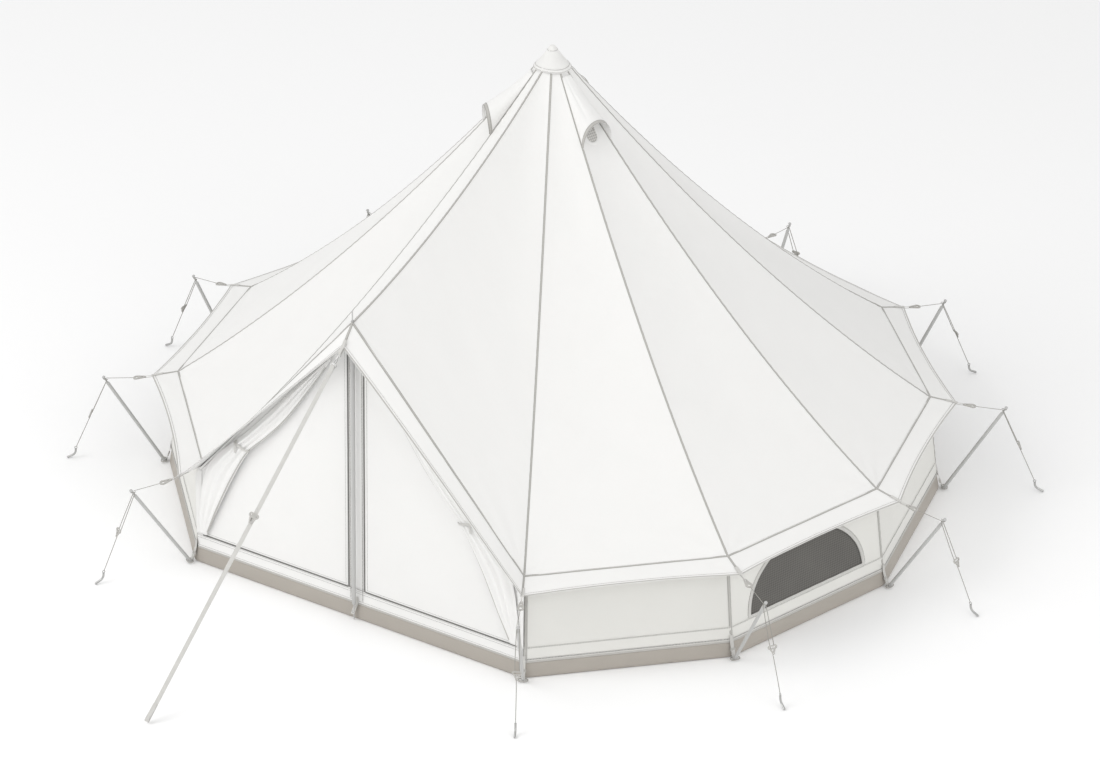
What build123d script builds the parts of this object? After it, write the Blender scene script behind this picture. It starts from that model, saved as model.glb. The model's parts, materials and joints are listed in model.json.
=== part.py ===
from build123d import *
from math import atan2, cos, degrees, pi, radians, sin
import os

# A bell tent: a twelve-sided canvas roof on a centre pole, a door frame pole, and a ring of
# short poles that lean outwards and are held by guy ropes. Millimetres, +Z up.
# The centre pole stands on the Z axis and the door faces -Y. The corners are numbered
# anticlockwise from the door, seen from above: 0 is the door's apex and 1 to 11 have a pole.

# --- driving dimensions -------------------------------------------------------------------
CORNER_ANGLE = 30.0
SIDE_POLES = range(1, 12)
WALL_SIDES = range(1, 11)
WINDOW_SIDES = (2, 4, 7, 9)
VENT_SIDES = (2, 6, 10)

CANVAS = 2.0
SEAM_GAP = 1.5

BASE_RADIUS = 2500.0
FLOOR_THICKNESS = 2.0
TUB_HEIGHT = 100.0
TUB_TOP_RADIUS = 2480.0

WALL_BOTTOM = 102.0
EAVE_RADIUS = 2410.0
EAVE_HEIGHT = 670.0
EAVE_SLOPE = 0.70
HEM_RADIUS = 2585.0
HEM_HEIGHT = 630.0

PEAK_RADIUS = 95.0
PEAK_HEIGHT = 2931.0
ROOF_STATIONS = (95.0, 500.0, 900.0, 1350.0, 1850.0, 2410.0)

DOOR_APEX_RADIUS = 2130.0
DOOR_APEX_HEIGHT = 2050.0
DOOR_APEX_SLOPE = 0.23
DOOR_HEM_RADIUS = 2232.0
DOOR_HEM_HEIGHT = 1925.0
DOOR_PLANE_BOTTOM = 2145.0
DOOR_PLANE_LEAN = 45.0 / 1945.0
DOOR_SLOPE = (DOOR_APEX_HEIGHT - EAVE_HEIGHT) / (EAVE_RADIUS * sin(radians(CORNER_ANGLE)))
SILL_TOP = 200.0
STRIP_HALF_WIDTH = 60.0

SIDE_POLE_RADIUS = 11.0
SIDE_FOOT = Vector(2530.0, 0.0, 13.0)
SIDE_TIP = Vector(2888.0, 0.0, 587.5)
ROPE_DIAMETER = 5.0
CORD_DIAMETER = 4.0
PEG_EYE = Vector(3105.0, 0.0, 79.0)
SLIDER_HEIGHT = 345.0

WEBBING_WIDTH = 25.0
FRONT_STRAP_WIDTH = 35.0
FRONT_STRAP_END = Vector(-322.0, -3829.0, 14.0)

CENTRE_POLE_RADIUS = 16.0
DOOR_POLE_RADIUS = 12.5

os.makedirs("parts", exist_ok=True)


# --- helpers ------------------------------------------------------------------------------
def save(name, *solids):
    """Write one node: a STEP file with one or more separate solids."""
    export_step(Compound(children=list(solids)), f"parts/{name}.step")


def corner(index, radius, height):
    """The point at this radius and height on the ray of a numbered corner."""
    angle = radians(CORNER_ANGLE * index - 90.0)
    return Vector(radius * cos(angle), radius * sin(angle), height)


def at_corner(index, shape):
    """Turn a shape made on the +X ray to a numbered corner."""
    return Rot(0, 0, CORNER_ANGLE * index - 90.0) * shape


def inset_pair(start, end):
    """The two points moved towards each other, so that neighbours don't touch at a seam."""
    step = (end - start).normalized() * SEAM_GAP
    return start + step, end - step


def side_edge(index, radius, height):
    """The edge of a side between its corners' seams, at this radius and height."""
    after = 1 if index == 11 else index + 1
    return inset_pair(corner(index, radius, height), corner(after, radius, height))


def sheet(edge_a, edge_b, thickness):
    """A thin ruled sheet between two edges, thickened by the vector thickness."""
    sections = []
    for a, b in zip(edge_a, edge_b):
        sections.append(Wire.make_polygon([a, b, b + thickness, a + thickness]))
    return Solid.make_loft(sections, ruled=True)


def plate(points, thickness):
    """A flat polygon, thickened by the vector thickness."""
    return Solid.extrude(Face(Wire.make_polygon(points)), thickness)


def tube_along(points, radii, diameter):
    """A round cord of straight runs joined by tangent arcs, and its path."""
    path = FilletPolyline(*points, radius=radii) if radii else Polyline(*points)
    start = Plane(origin=path @ 0, z_dir=path % 0)
    return sweep(start * Circle(diameter / 2), path=path)


def corner_radii(points, share=0.45):
    """The fillet radius at each inner point: share of the shorter run over tan of half the turn."""
    radii = []
    for before, here, after in zip(points, points[1:], points[2:]):
        a = here - before
        b = after - here
        half_turn = radians(a.get_angle(b) / 2)
        radii.append(share * min(a.length, b.length) * cos(half_turn) / sin(half_turn))
    return radii


def revolved(*points):
    """A turned piece about the Z axis, from its half outline as (radius, height) points."""
    outline = make_face(Plane.XZ * Polyline(*points, close=True))
    return revolve(outline, Axis.Z)


def curve_height(radius, end_radius, end_height, end_slope):
    """Height of a sagging seam that runs from the peak to its end."""
    run = end_radius - PEAK_RADIUS
    sag = (PEAK_HEIGHT - end_height - end_slope * run) / run**2
    out = end_radius - radius
    return end_height + end_slope * out + sag * out**2


def seam_points(index):
    """The roof seam of a corner, from the peak to the eave or to the door's apex."""
    if index % 12 == 0:
        end = (DOOR_APEX_RADIUS, DOOR_APEX_HEIGHT, DOOR_APEX_SLOPE)
    else:
        end = (EAVE_RADIUS, EAVE_HEIGHT, EAVE_SLOPE)
    share = (end[0] - PEAK_RADIUS) / (EAVE_RADIUS - PEAK_RADIUS)
    points = []
    for station in ROOF_STATIONS:
        radius = PEAK_RADIUS + share * (station - PEAK_RADIUS)
        points.append(corner(index, radius, curve_height(radius, *end)))
    return points


def outward(index, slope_angle):
    """Unit vector square to side index, tilted up by the angle given."""
    angle = radians(CORNER_ANGLE * (index + 0.5) - 90.0)
    flat = cos(radians(slope_angle))
    return Vector(flat * cos(angle), flat * sin(angle), sin(radians(slope_angle)))


def upper_roof_height(radius):
    """Height of a seam on the roof's top panel, which is flat between its first two stations."""
    end = (EAVE_RADIUS, EAVE_HEIGHT, EAVE_SLOPE)
    high = curve_height(ROOF_STATIONS[0], *end)
    low = curve_height(ROOF_STATIONS[1], *end)
    return high + (low - high) * (radius - ROOF_STATIONS[0]) / (ROOF_STATIONS[1] - ROOF_STATIONS[0])


# --- groundsheet --------------------------------------------------------------------------
def groundsheet():
    outline = [corner(index, BASE_RADIUS, 0) for index in SIDE_POLES]
    save("groundsheet_floor", plate(outline, Vector(0, 0, FLOOR_THICKNESS)))

    sides = []
    for index in SIDE_POLES:
        low = side_edge(index, BASE_RADIUS, FLOOR_THICKNESS)
        high = side_edge(index, TUB_TOP_RADIUS, TUB_HEIGHT)
        inward = Vector(0, 1, 0) if index == 11 else outward(index, 0) * -1
        sides.append(sheet(low, high, inward * CANVAS))
    save("groundsheet_tub", *sides)


# --- walls and windows --------------------------------------------------------------------
WALL_LEAN = (TUB_TOP_RADIUS - EAVE_RADIUS) / (EAVE_HEIGHT - TUB_HEIGHT)
WALL_TOP = 666.0
ZIP_BOTTOM = 105.0
ZIP_TOP = 131.0
ZIP_GAP = 0.2
WINDOW_HALF_WIDTH = 470.0
WINDOW_HEIGHT = 390.0
WINDOW_SILL = 215.0
BINDING_WIDTH = 24.0
BINDING_THICKNESS = 2.5
BINDING_GAP = 0.1
MESH_THICKNESS = 1.0
MESH_GAP = 0.5
MESH_MARGIN = 15.0


def wall_radius(height):
    return TUB_TOP_RADIUS - WALL_LEAN * (height - TUB_HEIGHT) - 2.0


def wall_plane(index, proud):
    """Plane on the outer face of a wall at the window's sill; x runs along the side and y up."""
    low = corner(index, wall_radius(WINDOW_SILL), WINDOW_SILL)
    high = corner(index, wall_radius(EAVE_HEIGHT), EAVE_HEIGHT)
    after = corner(index + 1, wall_radius(WINDOW_SILL), WINDOW_SILL)
    along = (after - low).normalized()
    normal = along.cross(high - low).normalized()
    return Plane(origin=(low + after) * 0.5 + normal * proud, x_dir=along, z_dir=normal)


def half_moon(half_width, height, floor):
    """A half ellipse that stands on the x axis, or reaches down to the floor given."""
    upper = Pos(0, (height + floor) / 2) * Rectangle(3 * half_width, height - floor)
    return Ellipse(half_width, height) & upper


def walls():
    panels = []
    meshes = []
    bindings = []
    strips = []
    for index in WALL_SIDES:
        low = side_edge(index, wall_radius(WALL_BOTTOM), WALL_BOTTOM)
        high = side_edge(index, wall_radius(WALL_TOP), WALL_TOP)
        panel = sheet(low, high, outward(index, 0) * -CANVAS)
        if index in WINDOW_SIDES:
            moon = half_moon(WINDOW_HALF_WIDTH, WINDOW_HEIGHT, 0)
            panel = panel - extrude(wall_plane(index, 0) * moon, amount=10 * CANVAS, both=True)
            inner = half_moon(WINDOW_HALF_WIDTH + MESH_MARGIN, WINDOW_HEIGHT + MESH_MARGIN, -MESH_MARGIN)
            behind = wall_plane(index, -CANVAS - MESH_THICKNESS - MESH_GAP)
            meshes.append(extrude(behind * inner, amount=MESH_THICKNESS))
            band = half_moon(WINDOW_HALF_WIDTH + BINDING_WIDTH, WINDOW_HEIGHT + BINDING_WIDTH, 0) - moon
            bindings.append(extrude(wall_plane(index, BINDING_GAP) * band, amount=BINDING_THICKNESS))
        panels.append(panel)

        low = side_edge(index, wall_radius(ZIP_BOTTOM) + ZIP_GAP, ZIP_BOTTOM)
        high = side_edge(index, wall_radius(ZIP_TOP) + ZIP_GAP, ZIP_TOP)
        strips.append(sheet(low, high, outward(index, 0) * CANVAS))
    save("wall_panels", *panels)
    save("window_meshes", *meshes)
    save("window_bindings", *bindings)
    save("ground_zip", *strips)


# --- roof ---------------------------------------------------------------------------------
VENT_HOLE_RADIUS = 330.0
VENT_HOLE_LENGTH = 200.0
VENT_HOLE_WIDTH = 90.0
HOOD_ROOT_RADIUS = 136.0
HOOD_MOUTH_RADIUS = 435.0
HOOD_CREST_RADIUS = 432.0
HOOD_CREST_HEIGHT = 2666.0
HOOD_ROOT_RISE = 5.0
HOOD_GAP = 4.0
HOOD_STEPS = 8
SPIKE_RADIUS = 4.0
SPIKE_CLEARANCE = 3.0
ROOF_TILT = 50.0
FLAP_TILT = 75.0
DOOR_FLAP_TILT = 30.0
FLAP_PROUD = 2.0


def vent_plane(index):
    """Plane on the roof's top panel at the vent; x runs across the panel and y up the slope."""
    middle = cos(radians(CORNER_ANGLE / 2))
    upper = corner(index + 0.5, ROOF_STATIONS[0] * middle, upper_roof_height(ROOF_STATIONS[0]))
    lower = corner(index + 0.5, ROOF_STATIONS[1] * middle, upper_roof_height(ROOF_STATIONS[1]))
    here = corner(index + 0.5, VENT_HOLE_RADIUS * middle, upper_roof_height(VENT_HOLE_RADIUS))
    up_slope = (upper - lower).normalized()
    across = (corner(index + 1, 1000, 0) - corner(index, 1000, 0)).normalized()
    return Plane(origin=here, x_dir=across, z_dir=across.cross(up_slope))


def vent_slot(shrink):
    return Rot(0, 0, 90) * SlotOverall(VENT_HOLE_LENGTH - 2 * shrink, VENT_HOLE_WIDTH - 2 * shrink)


def spike_hole():
    """Clearance where the door pole's spike comes out through the roof's ridge."""
    hole = Cylinder(SPIKE_RADIUS + SPIKE_CLEARANCE, 400)
    return Pos(0, -DOOR_APEX_RADIUS, DOOR_APEX_HEIGHT) * hole


def roof():
    gores = []
    meshes = []
    for index in range(12):
        near = seam_points(index)
        far = seam_points(index + 1)
        if index == 11:
            far = seam_points(0)
        pairs = [inset_pair(a, b) for a, b in zip(near, far)]
        left = [pair[0] for pair in pairs]
        right = [pair[1] for pair in pairs]
        gore = sheet(left, right, outward(index, ROOF_TILT) * -CANVAS)
        if index in VENT_SIDES:
            gore = gore - extrude(vent_plane(index) * vent_slot(0), amount=30, both=True)
            meshes.append(extrude(vent_plane(index) * vent_slot(0.5), amount=-MESH_THICKNESS))
        if index in (0, 11):
            gore = gore - spike_hole()
        gores.append(gore)
    save("roof_canopy", *gores)
    save("vent_meshes", *meshes)


def eave_flap():
    flaps = []
    for index in range(12):
        after = (index + 1) % 12
        seam = []
        hem = []
        for place in (index, after):
            if place == 0:
                seam.append(corner(0, DOOR_APEX_RADIUS + FLAP_PROUD, DOOR_APEX_HEIGHT - 1.0))
                hem.append(corner(0, DOOR_HEM_RADIUS, DOOR_HEM_HEIGHT))
            else:
                seam.append(corner(place, EAVE_RADIUS + FLAP_PROUD, EAVE_HEIGHT - 0.5))
                hem.append(corner(place, HEM_RADIUS, HEM_HEIGHT))
        tilt = DOOR_FLAP_TILT if index in (0, 11) else FLAP_TILT
        flap = sheet(inset_pair(*seam), inset_pair(*hem), outward(index, tilt) * -CANVAS)
        if index in (0, 11):
            flap = flap - spike_hole()
        flaps.append(flap)
    save("eave_flap", *flaps)


def vent_hoods():
    """Half-cone hoods that open downhill from just below the peak cap."""
    hoods = []
    for index in VENT_SIDES:
        middle = index + 0.5
        sections = []
        for step in range(HOOD_STEPS + 1):
            turn = radians(180.0 * step / HOOD_STEPS)
            side = 0.5 - 0.5 * cos(turn)
            rise = sin(turn)
            foot = [corner(index, HOOD_MOUTH_RADIUS, 0), corner(index + 1, HOOD_MOUTH_RADIUS, 0)]
            root = [corner(index, HOOD_ROOT_RADIUS, 0), corner(index + 1, HOOD_ROOT_RADIUS, 0)]
            foot_height = upper_roof_height(HOOD_MOUTH_RADIUS) + HOOD_GAP
            root_height = upper_roof_height(HOOD_ROOT_RADIUS) + HOOD_GAP
            foot_middle = (foot[0] + foot[1]) * 0.5
            crest = corner(middle, HOOD_CREST_RADIUS, 0) - foot_middle
            lift = Vector(0, 0, (HOOD_CREST_HEIGHT - foot_height) * rise)
            mouth = foot[0] + (foot[1] - foot[0]) * side + crest * rise + lift + Vector(0, 0, foot_height)
            start = root[0] + (root[1] - root[0]) * side + Vector(0, 0, root_height + HOOD_ROOT_RISE * rise)
            centre = foot_middle + Vector(0, 0, foot_height)
            inward = (centre - mouth).normalized() * CANVAS
            sections.append(Wire.make_polygon([start, mouth, mouth + inward, start + inward]))
        hoods.append(Solid.make_loft(sections, ruled=True))
    save("vent_hoods", *hoods)


CAP_BOTTOM_RADIUS = 128.0
CAP_BOTTOM = 2914.0
CAP_TOP_RADIUS = 20.0
CAP_TOP = 3034.0
CAP_THICKNESS = 3.0
PEAK_RING_HEIGHT = 8.0
PEAK_HOLE_RADIUS = 10.0


def peak():
    """The cap that covers the roof's top hole, and the ring round its own."""
    hole = PEAK_HOLE_RADIUS + 2
    under = CAP_TOP - CAP_THICKNESS
    cap = revolved((CAP_BOTTOM_RADIUS - CAP_THICKNESS, CAP_BOTTOM), (CAP_BOTTOM_RADIUS, CAP_BOTTOM),
                   (CAP_TOP_RADIUS, CAP_TOP), (hole, CAP_TOP), (hole, under), (CAP_TOP_RADIUS - 2, under))
    save("peak_cap", cap)
    ring = Torus(CAP_TOP_RADIUS - 5, PEAK_RING_HEIGHT / 2)
    save("peak_ring", Pos(0, 0, CAP_TOP + PEAK_RING_HEIGHT / 2) * ring)


# --- centre pole --------------------------------------------------------------------------
POLE_WALL = 1.5
CENTRE_JOINT = 1500.0
CENTRE_TOP = 2985.0
FOOT_PLATE_RADIUS = 45.0
FOOT_PLATE_THICKNESS = 8.0
SLEEVE_HALF_LENGTH = 90.0
SLEEVE_WALL = 2.0
FOOT_SPIGOT = 43.0
TOP_PLUG = 30.0
SHOULDER_RISE = 14.0
SPIKE_TOP = 3050.0
JOINT_GAP = 0.5
CHAMFER = 3.0


def centre_pole():
    bore = CENTRE_POLE_RADIUS - POLE_WALL
    plate_top = FLOOR_THICKNESS + FOOT_PLATE_THICKNESS
    spigot = bore - 0.5
    spigot_top = plate_top + FOOT_SPIGOT
    foot = revolved((0, FLOOR_THICKNESS), (FOOT_PLATE_RADIUS, FLOOR_THICKNESS),
                    (FOOT_PLATE_RADIUS, plate_top - CHAMFER), (FOOT_PLATE_RADIUS - CHAMFER - 1, plate_top),
                    (spigot, plate_top), (spigot, spigot_top - CHAMFER), (bore - CHAMFER, spigot_top),
                    (0, spigot_top))
    save("centre_pole_foot", foot)

    lower_top = CENTRE_JOINT - JOINT_GAP
    lower = revolved((bore, plate_top), (CENTRE_POLE_RADIUS, plate_top), (CENTRE_POLE_RADIUS, lower_top),
                     (bore, lower_top))
    save("centre_pole_lower", lower)

    upper_low = CENTRE_JOINT + JOINT_GAP
    spike = SPIKE_RADIUS + 3
    upper = revolved((bore, upper_low), (CENTRE_POLE_RADIUS, upper_low), (CENTRE_POLE_RADIUS, CENTRE_TOP),
                     (spike, CENTRE_TOP + SHOULDER_RISE), (spike, SPIKE_TOP - 6), (SPIKE_RADIUS, SPIKE_TOP),
                     (0, SPIKE_TOP), (0, CENTRE_TOP - TOP_PLUG), (bore, CENTRE_TOP - TOP_PLUG))
    save("centre_pole_upper", upper)

    inner = CENTRE_POLE_RADIUS + 0.1
    outer = inner + SLEEVE_WALL
    low = CENTRE_JOINT - SLEEVE_HALF_LENGTH
    high = CENTRE_JOINT + SLEEVE_HALF_LENGTH
    save("centre_pole_sleeve", revolved((inner, low), (outer, low), (outer, high), (inner, high)))


# --- door ---------------------------------------------------------------------------------
LEAF_GAP = 3.0
LEAF_SIDE = 1190.0
HINGE_DROP = 20.0
DOOR_POLE_FOOT = Vector(0, -2176.0, 118.0)
DOOR_POLE_TOP = Vector(0, -2131.5, 2000.0)
DOOR_POLE_JOINT = 0.5
SILL_HALF_WIDTH = 1225.0
DOOR_INWARD = Vector(0, 1, DOOR_PLANE_LEAN).normalized()


def door_point(x, height, proud=0.0):
    """A point on the door's plane, which leans in a little towards its top."""
    depth = DOOR_PLANE_BOTTOM - DOOR_PLANE_LEAN * (height - WALL_BOTTOM) + proud
    return Vector(x, -depth, height)


def slope_height(x):
    """Height of the roof's edge over the door at this distance from the middle."""
    return DOOR_APEX_HEIGHT - DOOR_SLOPE * abs(x)


def door_panels():
    half = SILL_HALF_WIDTH
    sill = [door_point(-half, WALL_BOTTOM), door_point(half, WALL_BOTTOM),
            door_point(half, SILL_TOP), door_point(-half, SILL_TOP)]
    save("door_sill", plate(sill, DOOR_INWARD * CANVAS))

    bottom = SILL_TOP + LEAF_GAP
    side = slope_height(STRIP_HALF_WIDTH) - HINGE_DROP
    strip = [door_point(-STRIP_HALF_WIDTH, bottom), door_point(STRIP_HALF_WIDTH, bottom),
             door_point(STRIP_HALF_WIDTH, side), door_point(0, slope_height(0) - HINGE_DROP),
             door_point(-STRIP_HALF_WIDTH, side)]
    save("door_strip", plate(strip, DOOR_INWARD * CANVAS))

    for name, sign in (("door_leaf_left", -1), ("door_leaf_right", 1)):
        inner = STRIP_HALF_WIDTH + LEAF_GAP
        leaf = [door_point(sign * inner, bottom), door_point(sign * LEAF_SIDE, bottom),
                door_point(sign * LEAF_SIDE, slope_height(LEAF_SIDE) - HINGE_DROP),
                door_point(sign * inner, slope_height(inner) - HINGE_DROP)]
        save(name, plate(leaf, DOOR_INWARD * CANVAS))


CURTAIN_THICKNESS = 36.0
CURTAIN_PROUD = 52.0
TIE_PLACE = (822.0, 985.0)
TIE_WIDTH = 22.0
TIE_SPAN = 124.0
TIE_THICKNESS = 3.5
TIE_TAB = (14.0, 3.0, 60.0)
CURTAIN_OUTLINE = ((170, 1740), (430, 1365), (775, 965), (1145, 225), (1200, 225), (1190, 640), (862, 1012))


def door_curtains():
    """Outer curtains gathered to the door's sloping edges, each held by a tie."""
    ties = []
    for name, sign in (("door_curtain_left", -1), ("door_curtain_right", 1)):
        points = [door_point(sign * x, z, CURTAIN_PROUD) for x, z in CURTAIN_OUTLINE]
        save(name, plate(points, DOOR_INWARD * CURTAIN_THICKNESS))

        centre = door_point(sign * TIE_PLACE[0], TIE_PLACE[1], CURTAIN_PROUD - CURTAIN_THICKNESS / 2)
        run = Vector(sign * 0.62, 0, -0.78)
        loop_plane = Plane(origin=centre - run * (TIE_WIDTH / 2), x_dir=run.cross(DOOR_INWARD), z_dir=run)
        depth = CURTAIN_THICKNESS + 5
        loop = Rectangle(TIE_SPAN + 8, depth + 2 * TIE_THICKNESS) - Rectangle(TIE_SPAN, depth)
        front = centre.Y - CURTAIN_THICKNESS / 2 - TIE_THICKNESS - TIE_TAB[1]
        tab = Pos(sign * TIE_PLACE[0], front, TIE_PLACE[1] - 50) * Box(*TIE_TAB)
        ties.append(extrude(loop_plane * loop, amount=TIE_WIDTH))
        ties.append(tab)
    save("curtain_ties", *ties)


DOOR_SPIGOT = 80.0
DOOR_SPIGOT_WALL = 1.5
FOOT_SPIKE = 116.0
TOP_SPIKE = 122.0
SHOULDER = 9.0
TAB_WIDTH = 26.0
TAB_LENGTH = 62.0
TAB_EYE = (24.0, 11.0)


def door_pole():
    """Two tubes joined by a spigot, with a spike at each end, and the tab that holds the foot."""
    along = DOOR_POLE_TOP - DOOR_POLE_FOOT
    length = along.length
    lean = degrees(atan2(along.Y, along.Z))
    place = Pos(*DOOR_POLE_FOOT) * Rot(-lean, 0, 0)
    joint = length * DOOR_POLE_JOINT
    bore = DOOR_POLE_RADIUS - POLE_WALL
    spigot = bore - 0.1
    inside = spigot - DOOR_SPIGOT_WALL
    plug = 30.0
    outer = DOOR_POLE_RADIUS
    lower_end = joint - JOINT_GAP
    upper_end = joint + JOINT_GAP
    lower = revolved((0, plug), (0, -FOOT_SPIKE), (2, -FOOT_SPIKE), (SPIKE_RADIUS, 6 - FOOT_SPIKE),
                     (SPIKE_RADIUS, -12), (SHOULDER, -9), (outer, 0), (outer, lower_end),
                     (bore, lower_end), (bore, plug))
    save("door_pole_lower", place * lower)
    upper = revolved((inside, joint - DOOR_SPIGOT), (spigot, joint - DOOR_SPIGOT), (spigot, upper_end),
                     (outer, upper_end), (outer, length), (SHOULDER, length + 8),
                     (SPIKE_RADIUS, length + 10), (SPIKE_RADIUS, length + TOP_SPIKE - 4),
                     (2, length + TOP_SPIKE), (0, length + TOP_SPIKE), (0, length - 20),
                     (inside, length - 20))
    save("door_pole_upper", place * upper)

    tab_plane = Plane(origin=(0, -2150.5, 104), x_dir=(1, 0, 0), z_dir=(0, -46, 42))
    tab = Pos(0, -TAB_LENGTH / 2) * Rectangle(TAB_WIDTH, TAB_LENGTH)
    tab = tab - Pos(0, -TAB_LENGTH * 0.62) * Rot(0, 0, 90) * SlotOverall(*TAB_EYE)
    save("door_pole_tab", extrude(tab_plane * tab, amount=2))


# --- side poles, guys and pegs ------------------------------------------------------------
POLE_VECTOR = SIDE_TIP - SIDE_FOOT
POLE_LEAN = degrees(atan2(POLE_VECTOR.X, POLE_VECTOR.Z))
NECK_RADIUS = 6.0
NECK_LOW = -19.0
NECK_HIGH = 18.0
CAP_HEIGHT = 4.0
TUBE_WALL = 1.2
DRAIN_RADIUS = 3.0

GUY_TIP = SIDE_TIP - POLE_VECTOR.normalized() * 9.0
EAVE_TIP = SIDE_TIP + POLE_VECTOR.normalized() * 9.0
GUY_VECTOR = GUY_TIP - PEG_EYE
GUY_UP = GUY_VECTOR.normalized()
GUY_OUT = Vector(GUY_UP.Z, 0, -GUY_UP.X)
SLIDER_AT = PEG_EYE + GUY_UP * ((SLIDER_HEIGHT - PEG_EYE.Z) / GUY_UP.Z)
SLIDER_THICKNESS = 6.0
SLIDER_RING = (62.0, 24.0)
SLIDER_SLOT = (44.0, 9.0)
SLIDER_TAIL = 38.0
SLIDER_TAIL_RADIUS = 8.0
SLIDER_EYE_RADIUS = 3.6
SLIDER_NECK = ((-22, -8), (-7, -38), (7, -38), (22, -8))
SLIDER_NOTCH = ((-9, -13), (-3, -26), (3, -26), (9, -13))
ROPE_CLEARANCE = 0.8


def side_pole():
    """One pole, upright on the origin: drained tube, rounded foot, and a neck under its cap."""
    low = POLE_VECTOR.length + NECK_LOW
    high = POLE_VECTOR.length + NECK_HIGH
    cap = high + CAP_HEIGHT
    outer = SIDE_POLE_RADIUS
    bore = outer - TUBE_WALL
    slope = outer * cos(radians(45))
    dome_low = (outer**2 - DRAIN_RADIUS**2) ** 0.5
    outline = [
        ThreePointArc((DRAIN_RADIUS, -dome_low), (slope, -slope), (outer, 0)),
        Polyline((outer, 0), (outer, low - 4), (NECK_RADIUS, low), (NECK_RADIUS, high),
                 (outer, high + 1), (outer, cap)),
        ThreePointArc((outer, cap), (slope, cap + slope), (0, cap + outer)),
        Polyline((0, cap + outer), (0, low - 12), (bore, low - 12), (bore, 0), (DRAIN_RADIUS, -8),
                 (DRAIN_RADIUS, -dome_low)),
    ]
    return revolve(make_face(Plane.XZ * Curve(children=outline)), Axis.Z)


def guy_slider():
    """A flat runner: an oval ring that narrows to a tail with an eye."""
    ring = SlotOverall(*SLIDER_RING)
    neck = Polygon(*SLIDER_NECK, align=None)
    tail = Pos(0, -SLIDER_TAIL) * Circle(SLIDER_TAIL_RADIUS)
    holes = SlotOverall(*SLIDER_SLOT) + Pos(0, -SLIDER_TAIL) * Circle(SLIDER_EYE_RADIUS)
    outline = ring + neck + tail - holes - Polygon(*SLIDER_NOTCH, align=None)
    clear = ROPE_DIAMETER / 2 + 0.6
    plane = Plane(origin=SLIDER_AT + GUY_OUT * clear, x_dir=(0, 1, 0), z_dir=GUY_OUT)
    if plane.y_dir.Z < 0:
        plane = Plane(origin=SLIDER_AT + GUY_OUT * clear, x_dir=(0, -1, 0), z_dir=GUY_OUT)
    return extrude(plane * outline, amount=SLIDER_THICKNESS)


def guy_point(up, across, out=0.0):
    """A point beside a guy rope's line: up it from the slider, across it, and out from it."""
    return SLIDER_AT + GUY_UP * up + Vector(0, across, 0) + GUY_OUT * out


def guy_rope():
    """Peg to slider, up to the pole's neck, round it and back to the slider."""
    tip = (GUY_TIP - SLIDER_AT).length
    side = NECK_RADIUS + ROPE_DIAMETER / 2 + ROPE_CLEARANCE
    over = side / sin(radians(GUY_UP.get_angle(POLE_VECTOR)))
    start = PEG_EYE + GUY_UP * 4
    points = [start, guy_point(-60, 0), guy_point(-22, -5), guy_point(14, -15),
              guy_point(tip - 22, -side - 0.5), guy_point(tip + over, -side),
              guy_point(tip + over, side), guy_point(tip - 22, side + 0.5), guy_point(8, 15)]
    radii = corner_radii(points)
    radii[3] = 200.0
    radii[4] = side - 0.4
    radii[5] = side - 0.4
    radii[6] = 200.0
    return tube_along(points, radii, ROPE_DIAMETER), points, radii


PEG_EYE_RADIUS = 8.0
PEG_WIRE_RADIUS = 2.5
PEG_ROD_RADIUS = 7.0
PEG_BEND = 40.0
PEG_END = Vector(3160.0, 0.0, 7.6)


def guy_peg():
    """The showing end of a driven peg: an eye and a rod that bends outwards to the ground."""
    eye = Pos(*PEG_EYE) * Rot(90, 0, 0) * Torus(PEG_EYE_RADIUS, PEG_WIRE_RADIUS)
    run = [PEG_EYE + Vector(1, 0, -9), Vector(3109, 0, 34), PEG_END]
    rod = tube_along(run, [PEG_BEND], 2 * PEG_ROD_RADIUS)
    return eye + rod + Pos(*PEG_END) * Sphere(PEG_ROD_RADIUS)


EAVE_OUT = (SIDE_TIP - Vector(HEM_RADIUS, 0, HEM_HEIGHT)).normalized()
EAVE_UP = Vector(-EAVE_OUT.Z, 0, EAVE_OUT.X)
LOOP_LENGTH = 40.0
LOOP_THICKNESS = 3.0
TOGGLE_LENGTH = 85.0
TOGGLE_BIG_RADIUS = 22.0
TOGGLE_SMALL_RADIUS = 9.0
TOGGLE_EYE_RADIUS = 11.0
TOGGLE_SLOT = (22.0, 7.0)
TOGGLE_SLOT_AT = 24.0
TOGGLE_THICKNESS = 7.0


def eave_plane(out, up):
    """Plane beside a hem corner: x runs out towards the pole's tip and y across."""
    origin = Vector(HEM_RADIUS, 0, HEM_HEIGHT) + EAVE_OUT * out + EAVE_UP * up
    return Plane(origin=origin, x_dir=EAVE_OUT, z_dir=EAVE_UP)


def eave_loop():
    strap = Pos(LOOP_LENGTH / 2, 0) * Rectangle(LOOP_LENGTH - 1, WEBBING_WIDTH)
    return extrude(eave_plane(0, -5) * strap, amount=LOOP_THICKNESS)


def eave_toggle():
    """A pear-shaped ring, narrow where the webbing holds it."""
    centre = TOGGLE_LENGTH - TOGGLE_BIG_RADIUS
    big = Pos(centre, 0) * Circle(TOGGLE_BIG_RADIUS)
    small = Pos(TOGGLE_SMALL_RADIUS, 0) * Circle(TOGGLE_SMALL_RADIUS)
    sides = Polygon((7, -9), (centre - 6, -21), (centre - 6, 21), (7, 9), align=None)
    hole = Pos(centre, 0) * Circle(TOGGLE_EYE_RADIUS)
    slot = Pos(TOGGLE_SLOT_AT, 0) * SlotOverall(*TOGGLE_SLOT)
    plane = eave_plane(LOOP_LENGTH, -TOGGLE_THICKNESS)
    return extrude(plane * (big + small + sides - hole - slot), amount=TOGGLE_THICKNESS)


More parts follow.
